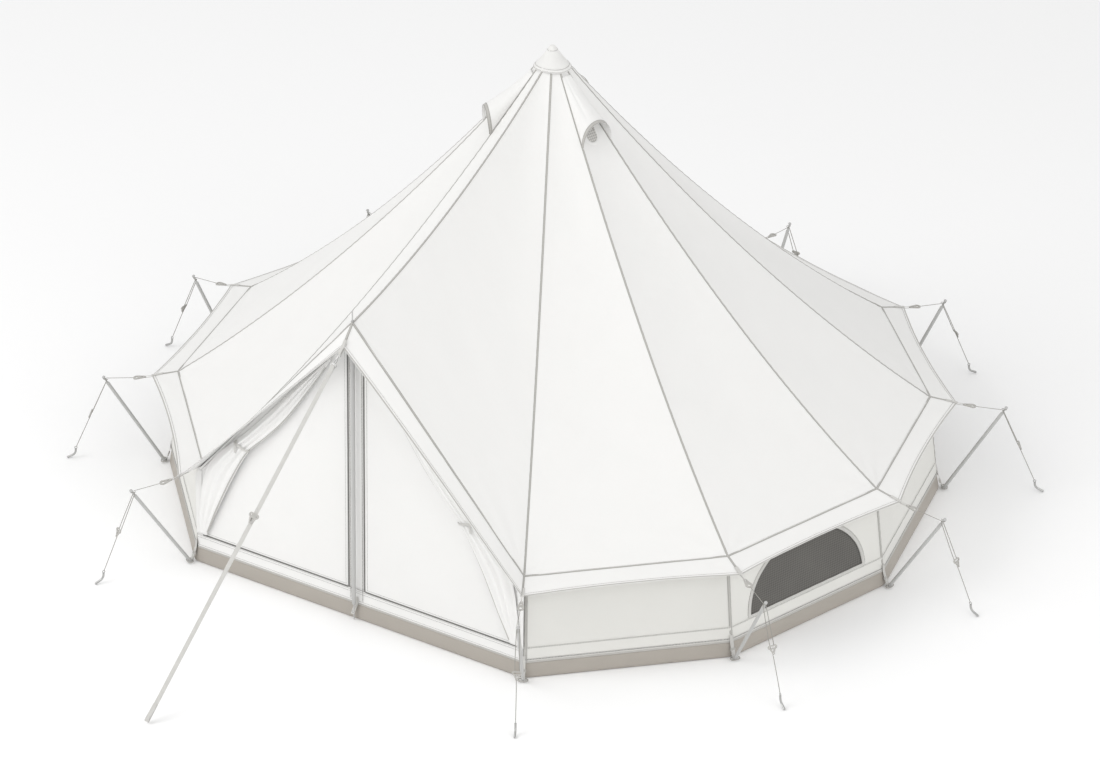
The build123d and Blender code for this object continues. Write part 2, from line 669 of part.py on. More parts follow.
def eave_cord():
    """From the toggle's eye to the pole's neck, round it, and tied back beside itself."""
    side = NECK_RADIUS + CORD_DIAMETER / 2 + ROPE_CLEARANCE
    start = eave_plane(LOOP_LENGTH + TOGGLE_LENGTH - 12, -3.5).origin
    along = (EAVE_TIP - start).normalized()
    over = side / sin(radians(along.get_angle(POLE_VECTOR)))
    across = Vector(0, 1, 0)
    points = [start, start + along * 24 - across * 2,
              EAVE_TIP - along * 26 - across * (side + 0.5), EAVE_TIP + along * over - across * side,
              EAVE_TIP + along * over + across * side, EAVE_TIP - along * 22 + across * side]
    radii = corner_radii(points)
    radii[0] = 60.0
    radii[1] = 100.0
    radii[2] = side - 0.4
    radii[3] = side - 0.4
    return tube_along(points, radii, CORD_DIAMETER), points, radii


STRAP_TOP = Vector(2484.0, 0, 99.0)
STRAP_LOW = Vector(2509.0, 0, 18.0)
FOOT_RING_OUTSIDE = (66.0, 40.0)
FOOT_RING_INSIDE = (54.0, 29.0)
FOOT_RING_BOTTOM = 10.0
FOOT_RING_HEIGHT = 5.0
BUCKLE_OUTSIDE = (34.0, 8.0)
BUCKLE_SLOT = (26.0, 3.2)
BUCKLE_LENGTH = 18.0


def foot_strap():
    half = Vector(0, WEBBING_WIDTH / 2, 0)
    top = [STRAP_TOP - half, STRAP_TOP + half]
    low = [STRAP_LOW - half, STRAP_LOW + half]
    return sheet(top, low, Vector(2, 0, 0.6))


def foot_buckle():
    middle = STRAP_TOP * 0.5 + STRAP_LOW * 0.5 + Vector(1, 0, 0.3)
    run = (STRAP_LOW - STRAP_TOP).normalized()
    plane = Plane(origin=middle - run * (BUCKLE_LENGTH / 2), x_dir=(0, 1, 0), z_dir=run)
    frame = Rectangle(*BUCKLE_OUTSIDE) - Rectangle(*BUCKLE_SLOT)
    return extrude(plane * frame, amount=BUCKLE_LENGTH)


def foot_ring():
    """The oval ring that the pole's foot stands in."""
    outline = SlotOverall(*FOOT_RING_OUTSIDE) - SlotOverall(*FOOT_RING_INSIDE)
    ring = extrude(outline, amount=FOOT_RING_HEIGHT)
    return Pos(SIDE_FOOT.X, 0, FOOT_RING_BOTTOM) * Rot(0, 0, 90) * ring


def pole_stations():
    pole = Pos(*SIDE_FOOT) * Rot(0, POLE_LEAN, 0) * side_pole()
    slider = guy_slider()
    groups = {"guy_ropes": guy_rope()[0], "guy_pegs": guy_peg(), "eave_loops": eave_loop(),
              "eave_toggles": eave_toggle(), "eave_cords": eave_cord()[0], "foot_straps": foot_strap(),
              "foot_buckles": foot_buckle(), "foot_rings": foot_ring()}
    for index in SIDE_POLES:
        save(f"side_pole_{index:02d}", at_corner(index, pole))
        save(f"guy_slider_{index:02d}", at_corner(index, slider))
    for name, piece in groups.items():
        save(name, *[at_corner(index, piece) for index in SIDE_POLES])


# --- front guy ----------------------------------------------------------------------------
FRONT_START = Vector(0, -DOOR_HEM_RADIUS, DOOR_HEM_HEIGHT - 4.0)
FRONT_DOWN = (FRONT_STRAP_END - FRONT_START).normalized()
FRONT_ACROSS = Vector(-FRONT_DOWN.Y, FRONT_DOWN.X, 0).normalized()
FRONT_LOOP = 45.0
FRONT_LOOP_START = 9.0
HOOK_LENGTH = 95.0
HOOK_THICKNESS = 6.0
FRONT_SLIDER_AT = 1130.0
STRAP_THICKNESS = 2.5
KEEPER_LENGTH = 12.0
BUCKLE_RING = (80.0, 30.0)
BUCKLE_RING_SLOT = (58.0, 12.0)
BUCKLE_WING = ((-30, -8), (-12, -52), (12, -52), (30, -8))
BUCKLE_WING_HOLE = ((-11, -18), (-6, -40), (6, -40), (11, -18))
BUCKLE_THICKNESS = 5.0


def front_plane(down):
    """Plane square to the front strap's run, this far down it."""
    return Plane(origin=FRONT_START + FRONT_DOWN * down, x_dir=FRONT_ACROSS, z_dir=FRONT_DOWN)


def front_face(down, proud):
    """Plane along the front strap's face: x across it and y up its run."""
    out = FRONT_ACROSS.cross(FRONT_DOWN * -1)
    return Plane(origin=FRONT_START + FRONT_DOWN * down + out * proud, x_dir=FRONT_ACROSS, z_dir=out)


def front_guy():
    loop_length = FRONT_LOOP - FRONT_LOOP_START
    loop = extrude(front_plane(FRONT_LOOP_START) * Rectangle(WEBBING_WIDTH, 4), amount=loop_length)
    save("front_loop", loop)

    eye = SlotOverall(34, 14) - SlotOverall(27, 7)
    ring = Pos(0, -14) * eye
    swivel = Pos(0, -28) * Rectangle(9, 15)
    gate = Pos(0, -52) * Rot(0, 0, 90) * (SlotOverall(38, 18) - SlotOverall(27, 8))
    bar = Pos(0, -82) * (SlotOverall(48, 20) - SlotOverall(39, 8))
    stem = Pos(0, -71) * Rectangle(9, 5)
    face = front_face(FRONT_LOOP - 7, -HOOK_THICKNESS / 2)
    save("front_hook", extrude(face * (ring + swivel + gate + bar + stem), amount=HOOK_THICKNESS))

    start = FRONT_LOOP + HOOK_LENGTH
    length = (FRONT_STRAP_END - FRONT_START).length - start
    strap = extrude(front_plane(start) * Rectangle(FRONT_STRAP_WIDTH, STRAP_THICKNESS), amount=length)
    save("front_strap", strap)

    slot = Rectangle(FRONT_STRAP_WIDTH + 1.5, STRAP_THICKNESS + 1.5)
    keeper = Rectangle(FRONT_STRAP_WIDTH + 9, STRAP_THICKNESS + 8) - slot
    keeper = extrude(front_plane(FRONT_SLIDER_AT - KEEPER_LENGTH / 2) * keeper, amount=KEEPER_LENGTH)
    body = SlotOverall(*BUCKLE_RING) + Polygon(*BUCKLE_WING, align=None)
    body = body - SlotOverall(*BUCKLE_RING_SLOT) - Polygon(*BUCKLE_WING_HOLE, align=None)
    front = extrude(front_face(FRONT_SLIDER_AT, STRAP_THICKNESS / 2 + 2) * body, amount=BUCKLE_THICKNESS)
    save("front_buckle", keeper + front)


def path_length(points, radii):
    """Length of straight runs joined by tangent arcs of these radii."""
    total = sum((after - before).length for before, after in zip(points, points[1:]))
    for radius, before, here, after in zip(radii, points, points[1:], points[2:]):
        turn = radians((here - before).get_angle(after - here))
        total += radius * turn - 2 * radius * sin(turn / 2) / cos(turn / 2)
    return total


def report_cords():
    """Print each cord's length and radii, and its volume against its section times its length."""
    cords = {"guy_rope": (guy_rope(), ROPE_DIAMETER), "eave_cord": (eave_cord(), CORD_DIAMETER)}
    for name, ((piece, points, radii), diameter) in cords.items():
        length = path_length(points, radii)
        swept = pi * diameter**2 / 4 * length
        print(f"{name}: {length:.0f} mm long, volume {piece.volume:.0f} of {swept:.0f} mm3")
        print("  fillet radii", [round(radius, 1) for radius in radii])


groundsheet()
walls()
roof()
eave_flap()
vent_hoods()
peak()
centre_pole()
door_panels()
door_curtains()
door_pole()
pole_stations()
front_guy()
report_cords()
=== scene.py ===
import json
from math import atan, cos, pi, radians, sin

import bmesh
import bpy
import numpy as np
from mathutils import Matrix, Vector

# A bell tent in metres. Corner 0 is the door's apex on -Y, and corners 1 to 11 each have a pole.
# Cloth is made from surfaces: a function of two parameters, u and v, that gives points, with its
# slack and creases along the normal. Seams, hems and tapes are strips on those same surfaces.
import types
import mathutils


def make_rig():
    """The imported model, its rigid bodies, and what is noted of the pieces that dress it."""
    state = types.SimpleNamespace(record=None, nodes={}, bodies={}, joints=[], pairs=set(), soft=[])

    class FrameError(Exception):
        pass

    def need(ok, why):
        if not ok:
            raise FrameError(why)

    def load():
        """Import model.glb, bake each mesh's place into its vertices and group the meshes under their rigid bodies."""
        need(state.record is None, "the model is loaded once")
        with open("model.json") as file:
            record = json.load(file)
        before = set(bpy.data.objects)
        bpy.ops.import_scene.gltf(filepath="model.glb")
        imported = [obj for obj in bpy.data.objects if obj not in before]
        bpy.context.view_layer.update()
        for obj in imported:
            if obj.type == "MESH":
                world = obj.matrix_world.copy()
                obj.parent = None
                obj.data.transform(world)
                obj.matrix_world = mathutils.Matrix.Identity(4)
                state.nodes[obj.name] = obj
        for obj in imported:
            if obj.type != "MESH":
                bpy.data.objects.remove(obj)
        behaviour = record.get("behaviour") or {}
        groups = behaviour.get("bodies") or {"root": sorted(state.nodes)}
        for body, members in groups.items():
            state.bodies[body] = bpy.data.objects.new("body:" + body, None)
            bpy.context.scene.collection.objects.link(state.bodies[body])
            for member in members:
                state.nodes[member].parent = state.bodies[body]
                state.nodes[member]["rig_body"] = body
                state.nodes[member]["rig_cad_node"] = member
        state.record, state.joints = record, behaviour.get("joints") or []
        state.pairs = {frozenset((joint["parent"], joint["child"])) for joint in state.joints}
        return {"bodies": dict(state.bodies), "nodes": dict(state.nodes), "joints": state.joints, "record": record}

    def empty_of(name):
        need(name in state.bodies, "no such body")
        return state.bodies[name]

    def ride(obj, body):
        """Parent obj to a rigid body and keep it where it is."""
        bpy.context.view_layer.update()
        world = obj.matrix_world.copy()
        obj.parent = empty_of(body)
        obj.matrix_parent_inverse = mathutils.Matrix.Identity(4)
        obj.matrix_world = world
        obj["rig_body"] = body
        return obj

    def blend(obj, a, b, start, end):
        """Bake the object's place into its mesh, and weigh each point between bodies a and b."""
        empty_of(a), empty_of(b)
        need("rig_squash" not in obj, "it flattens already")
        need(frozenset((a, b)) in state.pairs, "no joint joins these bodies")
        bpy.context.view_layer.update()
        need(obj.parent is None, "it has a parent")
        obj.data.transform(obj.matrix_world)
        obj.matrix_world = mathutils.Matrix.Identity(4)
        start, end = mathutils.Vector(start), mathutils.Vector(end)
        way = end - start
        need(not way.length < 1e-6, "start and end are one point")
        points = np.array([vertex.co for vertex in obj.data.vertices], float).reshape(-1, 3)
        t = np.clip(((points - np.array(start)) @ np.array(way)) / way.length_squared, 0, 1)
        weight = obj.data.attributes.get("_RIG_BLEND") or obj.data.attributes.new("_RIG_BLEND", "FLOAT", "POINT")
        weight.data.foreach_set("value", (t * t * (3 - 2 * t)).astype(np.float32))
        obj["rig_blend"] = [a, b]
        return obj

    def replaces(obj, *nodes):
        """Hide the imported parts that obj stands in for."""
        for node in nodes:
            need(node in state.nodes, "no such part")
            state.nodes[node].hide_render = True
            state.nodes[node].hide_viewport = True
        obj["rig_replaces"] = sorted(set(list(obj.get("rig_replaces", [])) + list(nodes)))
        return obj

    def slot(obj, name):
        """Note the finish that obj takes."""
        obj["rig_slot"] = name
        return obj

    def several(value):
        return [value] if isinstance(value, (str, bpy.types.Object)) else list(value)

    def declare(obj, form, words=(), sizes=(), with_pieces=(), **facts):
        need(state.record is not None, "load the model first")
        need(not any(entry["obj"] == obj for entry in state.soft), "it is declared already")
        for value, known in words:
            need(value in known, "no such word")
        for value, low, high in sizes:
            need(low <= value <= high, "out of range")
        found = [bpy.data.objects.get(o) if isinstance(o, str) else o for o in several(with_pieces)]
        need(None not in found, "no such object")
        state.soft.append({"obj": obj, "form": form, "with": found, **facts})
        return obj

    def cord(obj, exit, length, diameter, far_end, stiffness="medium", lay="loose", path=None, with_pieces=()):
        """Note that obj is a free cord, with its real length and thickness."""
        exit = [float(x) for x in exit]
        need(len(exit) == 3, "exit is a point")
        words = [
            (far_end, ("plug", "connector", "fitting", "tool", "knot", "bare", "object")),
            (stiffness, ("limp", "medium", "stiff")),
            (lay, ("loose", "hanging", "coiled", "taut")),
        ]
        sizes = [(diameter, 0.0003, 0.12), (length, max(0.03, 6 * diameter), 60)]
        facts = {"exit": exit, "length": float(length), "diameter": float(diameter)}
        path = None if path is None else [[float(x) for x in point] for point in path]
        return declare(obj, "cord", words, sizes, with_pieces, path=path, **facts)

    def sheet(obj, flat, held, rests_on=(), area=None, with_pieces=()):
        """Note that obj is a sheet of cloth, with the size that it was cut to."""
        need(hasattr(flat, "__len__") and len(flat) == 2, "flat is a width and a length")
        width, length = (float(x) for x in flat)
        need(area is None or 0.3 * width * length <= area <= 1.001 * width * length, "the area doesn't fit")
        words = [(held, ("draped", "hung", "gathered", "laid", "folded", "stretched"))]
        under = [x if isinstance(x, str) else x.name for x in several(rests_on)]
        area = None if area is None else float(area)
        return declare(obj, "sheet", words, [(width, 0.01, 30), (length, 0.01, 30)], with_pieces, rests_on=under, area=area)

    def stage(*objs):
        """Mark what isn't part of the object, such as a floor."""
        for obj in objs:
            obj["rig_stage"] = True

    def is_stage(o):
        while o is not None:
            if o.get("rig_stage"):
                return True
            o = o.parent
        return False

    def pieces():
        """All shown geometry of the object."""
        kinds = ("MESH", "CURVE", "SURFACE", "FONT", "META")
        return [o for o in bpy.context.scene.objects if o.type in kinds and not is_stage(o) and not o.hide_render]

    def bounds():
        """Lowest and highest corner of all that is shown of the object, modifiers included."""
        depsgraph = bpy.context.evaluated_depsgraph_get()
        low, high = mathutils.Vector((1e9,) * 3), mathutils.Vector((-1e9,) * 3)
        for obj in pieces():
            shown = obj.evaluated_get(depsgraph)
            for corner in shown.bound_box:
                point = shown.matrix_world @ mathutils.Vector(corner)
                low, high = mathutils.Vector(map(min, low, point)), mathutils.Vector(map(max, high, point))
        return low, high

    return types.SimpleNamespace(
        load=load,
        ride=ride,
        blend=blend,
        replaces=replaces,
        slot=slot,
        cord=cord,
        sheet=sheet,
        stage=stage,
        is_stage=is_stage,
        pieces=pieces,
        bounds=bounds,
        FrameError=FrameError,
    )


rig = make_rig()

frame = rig.load()
cad_box = [list(point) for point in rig.bounds()]

# --- sizes ----------------------------------------------------------------------------------
CORNER_ANGLE = radians(30)
CORNERS = range(12)
POLES = range(1, 12)
SIDES = (("left", -1), ("right", 1))
WINDOW_SIDES = (2, 4, 7, 9)
VENT_SIDES = (2, 6, 10)

BASE_RADIUS = 2.5
TUB_HEIGHT = 0.1
TUB_TOP_RADIUS = 2.48
WALL_BOTTOM = 0.102
BAND_TOP = 0.205
BAND_WIDTH = 0.1
EAVE_RADIUS = 2.41
EAVE_HEIGHT = 0.67
EAVE_SLOPE = 0.70
HEM_RADIUS = 2.585
HEM_HEIGHT = 0.63
PEAK_RADIUS = 0.095
PEAK_HEIGHT = 2.931

DOOR_APEX = (2.13, 2.05, 0.23)
DOOR_HEM_RADIUS = 2.232
DOOR_HEM_HEIGHT = 1.925
DOOR_PLANE_BOTTOM = 2.145
DOOR_PLANE_LEAN = 0.045 / 1.945
DOOR_SLOPE = (DOOR_APEX[1] - EAVE_HEIGHT) / (EAVE_RADIUS * sin(CORNER_ANGLE))
SILL_TOP = 0.2

CLOTH = 0.0016
SEAM_WIDTH = 0.014
HEM_WIDTH = 0.024
STITCHES_APART = 0.0048
HEM_LIFT = 0.0004
FLAP_DEPTH = 0.18
STRIP_HALF_WIDTH = 0.06
CURTAIN_LENGTH = 1.75
RIM_HEIGHT = 0.1045
RIM_WIDTH = 0.013


# --- materials ------------------------------------------------------------------------------
class Material:
    """A node material, with short calls for its nodes."""

    def __init__(self, name, colour, roughness, **sockets):
        self.data = bpy.data.materials.new(name)
        self.data.use_nodes = True
        self.nodes = self.data.node_tree.nodes
        self.links = self.data.node_tree.links
        self.shader = self.nodes["Principled BSDF"]
        self.colour = (*colour, 1)
        self.shader.inputs["Base Color"].default_value = self.colour
        self.shader.inputs["Roughness"].default_value = roughness
        for key, value in sockets.items():
            self.shader.inputs[key.replace("_", " ")].default_value = value

    def put(self, value, socket):
        if isinstance(value, bpy.types.NodeSocket):
            self.links.new(value, socket)
        else:
            socket.default_value = value

    def math(self, operation, *values):
        node = self.nodes.new("ShaderNodeMath")
        node.operation = operation
        for value, socket in zip(values, node.inputs):
            self.put(value, socket)
        return node.outputs[0]

    def total(self, one, share, other, other_share):
        """The sum of two values, each with its share."""
        return self.math("ADD", self.math("MULTIPLY", one, share), self.math("MULTIPLY", other, other_share))

    def node(self, kind, output, **sockets):
        """One output of a new node, after its sockets are set or linked."""
        node = self.nodes.new("ShaderNode" + kind)
        for name, value in sockets.items():
            self.put(value, node.inputs[name.replace("_", " ")])
        return node.outputs[output]

    def cloth_place(self):
        """The cloth's own metres: as a vector, and then u and v alone."""
        source = self.nodes.new("ShaderNodeUVMap")
        source.uv_map = "cloth"
        split = self.nodes.new("ShaderNodeSeparateXYZ")
        self.links.new(source.outputs[0], split.inputs[0])
        return source.outputs[0], split.outputs[0], split.outputs[1]

    def object_place(self):
        return self.node("TexCoord", "Object")

    def noise(self, vector, scale, detail=2.0, stretch=(1, 1, 1)):
        stretched = self.node("Mapping", "Vector", Vector=vector, Scale=stretch)
        return self.node("TexNoise", "Fac", Vector=stretched, Scale=scale, Detail=detail)

    def wave(self, value, period):
        """A sine of value, from -1 to 1, with this period."""
        return self.math("SINE", self.math("MULTIPLY", value, 2 * pi / period))

    def tint(self, factor, low, high):
        """Colour the base from low to high shares of the material's colour."""
        ramp = self.nodes.new("ShaderNodeMix")
        ramp.data_type = "RGBA"
        self.links.new(factor, ramp.inputs["Factor"])
        ramp.inputs["A"].default_value = (*[c * low for c in self.colour[:3]], 1)
        ramp.inputs["B"].default_value = (*[c * high for c in self.colour[:3]], 1)
        self.links.new(ramp.outputs["Result"], self.shader.inputs["Base Color"])

    def rough(self, factor, low, high):
        spread = self.node("MapRange", 0, Value=factor, To_Min=low, To_Max=high)
        self.links.new(spread, self.shader.inputs["Roughness"])

    def bump(self, height, distance, strength=1.0):
        """The last call of a material: its relief, and then the material itself."""
        normal = self.node("Bump", 0, Height=height, Distance=distance, Strength=strength)
        self.links.new(normal, self.shader.inputs["Normal"])
        return self.data


def woven(name, colour, period=0.0016, distance=0.0003, roughness=0.9, sheen=0.15):
    """Plain-woven cloth: threads over and under, slubs along them, and soft mottling."""
    m = Material(name, colour, roughness, Sheen_Weight=sheen, Sheen_Roughness=0.6, Specular_IOR_Level=0.25)
    vector, u, v = m.cloth_place()
    weave = m.math("MULTIPLY", m.wave(u, period), m.wave(v, period))
    warp = m.noise(vector, 60, 1, (6, 0.4, 1))
    weft = m.noise(vector, 60, 1, (0.4, 6, 1))
    slubs = m.math("ADD", warp, weft)
    mottle = m.noise(vector, 3.5, 3)
    m.tint(m.total(slubs, 0.3, mottle, 0.4), 0.955, 1.035)
    m.rough(mottle, roughness - 0.06, roughness + 0.05)
    return m.bump(m.total(weave, 0.5, slubs, 0.8), distance)


def webbing(name, colour):
    """Ribbed webbing with a herringbone weave that runs along v."""
    m = Material(name, colour, 0.8, Sheen_Weight=0.1, Specular_IOR_Level=0.3)
    vector, u, v = m.cloth_place()
    zigzag = m.math("ABSOLUTE", m.wave(u, 0.012))
    ribs = m.wave(m.math("ADD", v, m.math("MULTIPLY", zigzag, 0.002)), 0.0022)
    m.tint(m.noise(vector, 25, 2), 0.93, 1.04)
    return m.bump(ribs, 0.0004)


def rope_cloth(name, colour):
    """Fibres that run along the strands of a laid rope."""
    m = Material(name, colour, 0.85, Sheen_Weight=0.2, Specular_IOR_Level=0.25)
    vector, _, _ = m.cloth_place()
    fibres = m.noise(vector, 900, 2, (1, 0.15, 1))
    m.tint(fibres, 0.86, 1.06)
    return m.bump(fibres, 0.0003)


def coated(name, colour):
    """Heavy coated groundsheet cloth, satin, with a fine basket weave under the coat."""
    m = Material(name, colour, 0.5, Coat_Weight=0.12, Coat_Roughness=0.35, Specular_IOR_Level=0.4)
    vector, u, v = m.cloth_place()
    weave = m.math("MULTIPLY", m.wave(u, 0.003), m.wave(v, 0.003))
    mottle = m.noise(vector, 5, 4)
    scuffs = m.noise(vector, 14, 3, (0.3, 3, 1))
    m.tint(m.total(mottle, 0.6, scuffs, 0.4), 0.93, 1.06)
    m.rough(scuffs, 0.42, 0.62)
    return m.bump(weave, 0.00025)


def screen(name, colour):
    """Insect mesh: a fine square net, with every few threads of it darker."""
    m = Material(name, colour, 0.75, Specular_IOR_Level=0.3)
    vector, u, v = m.cloth_place()
    pitch = 0.030
    fine = m.math("MULTIPLY", m.wave(u, 0.004), m.wave(v, 0.004))
    across = m.math("POWER", m.math("ABSOLUTE", m.wave(u, pitch)), 0.35)
    along = m.math("POWER", m.math("ABSOLUTE", m.wave(v, pitch)), 0.35)
    holes = m.math("MULTIPLY", across, along)
    m.tint(m.total(holes, 0.75, m.noise(vector, 4, 2), 0.25), 0.35, 1.5)
    return m.bump(fine, 0.0004)


def painted(name, colour):
    """Powder-coated tube: fine orange peel, faint scuffs along it."""
    m = Material(name, colour, 0.36, Coat_Weight=0.2, Coat_Roughness=0.25)
    vector = m.object_place()
    scuffs = m.noise(vector, 30, 4, (3, 3, 0.5))
    m.tint(scuffs, 0.95, 1.03)
    m.rough(scuffs, 0.3, 0.46)
    return m.bump(m.noise(vector, 700, 2), 0.0001, 0.4)


def moulded(name, colour):
    m = Material(name, colour, 0.42)
    vector = m.object_place()
    grain = m.noise(vector, 900, 2)
    m.tint(m.noise(vector, 20, 2), 0.95, 1.03)
    m.rough(grain, 0.36, 0.5)
    return m.bump(grain, 0.0001, 0.5)


def brushed(name, colour):
    m = Material(name, colour, 0.32, Metallic=1.0)
    vector = m.object_place()
    lines = m.noise(vector, 300, 3, (1, 1, 6))
    m.tint(m.noise(vector, 25, 3), 0.9, 1.05)
    m.rough(lines, 0.24, 0.42)
    return m.bump(lines, 0.00008, 0.5)


CANVAS = woven("canvas", (0.86, 0.855, 0.84))
CAP_CLOTH = woven("cap_canvas", (0.85, 0.845, 0.825), period=0.0024, distance=0.0005)
WALL_CLOTH = woven("wall_canvas", (0.758, 0.752, 0.718))
TAPE = woven("seam_tape", (0.50, 0.49, 0.465), period=0.0012)
ZIP_TAPE = woven("zip_tape", (0.36, 0.355, 0.34), period=0.0012)
THREAD = webbing("thread", (0.30, 0.29, 0.27))
WEBBING = webbing("webbing", (0.72, 0.71, 0.68))
ROPE = rope_cloth("rope", (0.33, 0.32, 0.295))
GROUND = coated("groundsheet", (0.42, 0.387, 0.345))
SCREEN = screen("window_screen", (0.127, 0.123, 0.114))
VENT_NET = screen("vent_net", (0.52, 0.51, 0.49))
POLE = painted("pole_paint", (0.48, 0.48, 0.47))
PLASTIC = moulded("off_white_plastic", (0.45, 0.44, 0.415))
COIL = moulded("zip_coil", (0.09, 0.088, 0.085))
STEEL = brushed("peg_steel", (0.48, 0.48, 0.47))


# --- surfaces -------------------------------------------------------------------------------
def together(*values):
    """Points from arrays of their coordinates."""
    return np.stack(np.broadcast_arrays(*values), axis=-1)


def unit(vectors):
    return vectors / np.linalg.norm(vectors, axis=-1, keepdims=True)


def share_of(u):
    """How far u is along its side, from 0 at one corner to 1 at the next."""
    return u - np.floor(u + 1e-9)


def corner(index, radius, height):
    """Points at a radius and height on the ray of a corner; all may be arrays."""
    angle = CORNER_ANGLE * np.asarray(index, float) - pi / 2
    return together(radius * np.cos(angle), radius * np.sin(angle), height)


def mix(a, b, share):
    share = np.asarray(share)[..., None]
    return a * (1 - share) + b * share


def displaced(base, slack, facing=1):
    """A surface: base moved out along its normal by slack(u, v), and by a lift."""
    step = 1e-3

    def surface(u, v, lift=0.0):
        u, v = np.broadcast_arrays(np.asarray(u, float), np.asarray(v, float))
        across = base(u + step, v) - base(u - step, v)
        along = base(u, v + step) - base(u, v - step)
        normal = np.cross(across, along)
        normal /= facing * np.maximum(np.linalg.norm(normal, axis=-1, keepdims=True), 1e-12)
        return base(u, v) + normal * (slack(u, v) + lift)[..., None]

    surface.base = base
    return surface


def fan(x, y, count, reach, height):
    """Tension creases that fan out from a point, at distances x and y from it."""
    away = np.hypot(x, y)
    turn = np.arctan2(x, np.maximum(y, 1e-6))
    return height * np.exp(-away / reach) * away / (away + 0.06) * np.sin(count * turn)


def undulate(a, b, seed):
    """Slow swells of slack cloth, from -1 to 1, the same each time for a seed."""
    turn = np.random.default_rng(seed).uniform(0, 2 * pi, 6)
    total = np.sin(2.1 * a + 1.3 * b + turn[0]) + np.sin(-1.7 * a + 3.1 * b + turn[1])
    total = total + 0.6 * np.sin(5.3 * a - 2.2 * b + turn[2]) + 0.5 * np.sin(3.9 * a + 6.1 * b + turn[3])
    return (total + 0.3 * np.sin(9.7 * a + 1.9 * b + turn[4])) / 3.4


def seam_height(radius, end):
    """Height of a roof seam that sags from the peak to its end: (radius, height, slope)."""
    run = end[0] - PEAK_RADIUS
    sag = (PEAK_HEIGHT - end[1] - end[2] * run) / run**2
    out = end[0] - radius
    return end[1] + end[2] * out + sag * out**2


def roof_seam(index, v):
    """The seam of a whole-numbered corner, at shares v of its run from the peak."""
    door = (index % 12 == 0)[..., None]
    points = []
    for end in (DOOR_APEX, (EAVE_RADIUS, EAVE_HEIGHT, EAVE_SLOPE)):
        radius = PEAK_RADIUS + v * (end[0] - PEAK_RADIUS)
        points.append(corner(index, radius, seam_height(radius, end)))
    return np.where(door, points[0], points[1])


def roof_base(u, v):
    low = np.floor(u + 1e-9)
    return mix(roof_seam(low, v), roof_seam(low + 1, v), u - low)


GORE_LENGTH = 3.27
GORE_WIDTH = 2 * EAVE_RADIUS * sin(CORNER_ANGLE / 2)


def roof_slack(u, v):
    """Each gore hollows between its seams; the cloth creases from the eaves' corners."""
    gore = np.floor(u + 1e-9) % 12
    share = share_of(u)
    seam = np.round(u) % 12
    width = GORE_WIDTH * (0.04 + 0.96 * np.clip(v, 0, 1))
    side = np.minimum(share, 1 - share) * width
    length = v * GORE_LENGTH
    hollow = -0.024 * 4 * share * (1 - share) * np.sin(pi * np.clip(v, 0, 1) ** 0.8)
    low = GORE_LENGTH * (1 - v)
    creases = fan(share * width, low, 9, 0.5, 0.004) + fan((1 - share) * width, low, 9, 0.5, 0.004)
    puckers = 0.0009 * np.exp(-side / 0.03) * np.sin(2 * pi * length / 0.06 + 2.4 * seam)
    fade = 4 * share * (1 - share) * np.sin(pi * np.clip(v, 0, 1))
    swell = 0.007 * fade * undulate(1.7 * share + gore, 1.9 * length, 11)
    return hollow + creases + puckers + swell


roof = displaced(roof_base, roof_slack, -1)


def flap_scallop(u):
    """How far the hem is cut in towards the seam between two corners, as a share."""
    share = share_of(u)
    door = (u < 1) | (u > 11)
    return np.where(door, 0.10, 0.19) * 4 * share * (1 - share)


def flap_edges(u):
    """The flap's seam and hem lines at the corners each side of u."""
    low = np.floor(u + 1e-9)
    edges = []
    for radii, heights in (((EAVE_RADIUS, DOOR_APEX[0]), (EAVE_HEIGHT, DOOR_APEX[1])),
                           ((HEM_RADIUS, DOOR_HEM_RADIUS), (HEM_HEIGHT, DOOR_HEM_HEIGHT))):
        ends = []
        for place in (low, low + 1):
            door = place % 12 == 0
            radius = np.where(door, radii[1], radii[0])
            height = np.where(door, heights[1], heights[0])
            ends.append(corner(place, radius, height))
        edges.append(mix(ends[0], ends[1], u - low))
    return edges


def flap_base(u, v):
    seam, hem = flap_edges(u)
    return mix(seam, hem, v * (1 - flap_scallop(u)))


def flap_slack(u, v):
    share = share_of(u)
    side = np.minimum(share, 1 - share) * GORE_WIDTH
    creases = fan(side, 0.19 * (1 - v), 7, 0.22, 0.0035)
    droop = -0.006 * v * 4 * share * (1 - share)
    return creases + droop + 0.003 * v * undulate(3 * u, 2 * v, 5)


flap = displaced(flap_base, flap_slack, -1)

WALL_LEAN = (TUB_TOP_RADIUS - EAVE_RADIUS) / (EAVE_HEIGHT - TUB_HEIGHT)
WALL_SIDE = 2 * 2.46 * sin(CORNER_ANGLE / 2)


def wall_base(u, v):
    """u runs through the corners and v is the height."""
    low = np.floor(u + 1e-9)
    radius = TUB_TOP_RADIUS - 0.002 - WALL_LEAN * (v - TUB_HEIGHT)
    return mix(corner(low, radius, v), corner(low + 1, radius, v), u - low)


def wall_slack(u, v):
    share = share_of(u)
    left = share * WALL_SIDE
    right = (1 - share) * WALL_SIDE
    top = EAVE_HEIGHT - v
    creases = fan(left, top, 8, 0.3, 0.005) + fan(right, top, 8, 0.3, 0.005)
    free = np.clip((v - BAND_TOP) / 0.12, 0, 1) * np.clip(top / 0.1, 0, 1)
    swell = 0.007 * free * undulate(2.6 * u, 6 * v, 3) * np.clip(4 * share * (1 - share), 0, 1)
    puckers = 0.001 * np.exp(-np.minimum(left, right) / 0.02) * np.sin(2 * pi * v / 0.05)
    ripple = 0.0012 * np.sin(2 * pi * share * WALL_SIDE / 0.11 + np.floor(u))
    return creases * free + swell + puckers + ripple * np.exp(-np.abs(v - BAND_TOP) / 0.03)


wall = displaced(wall_base, wall_slack)


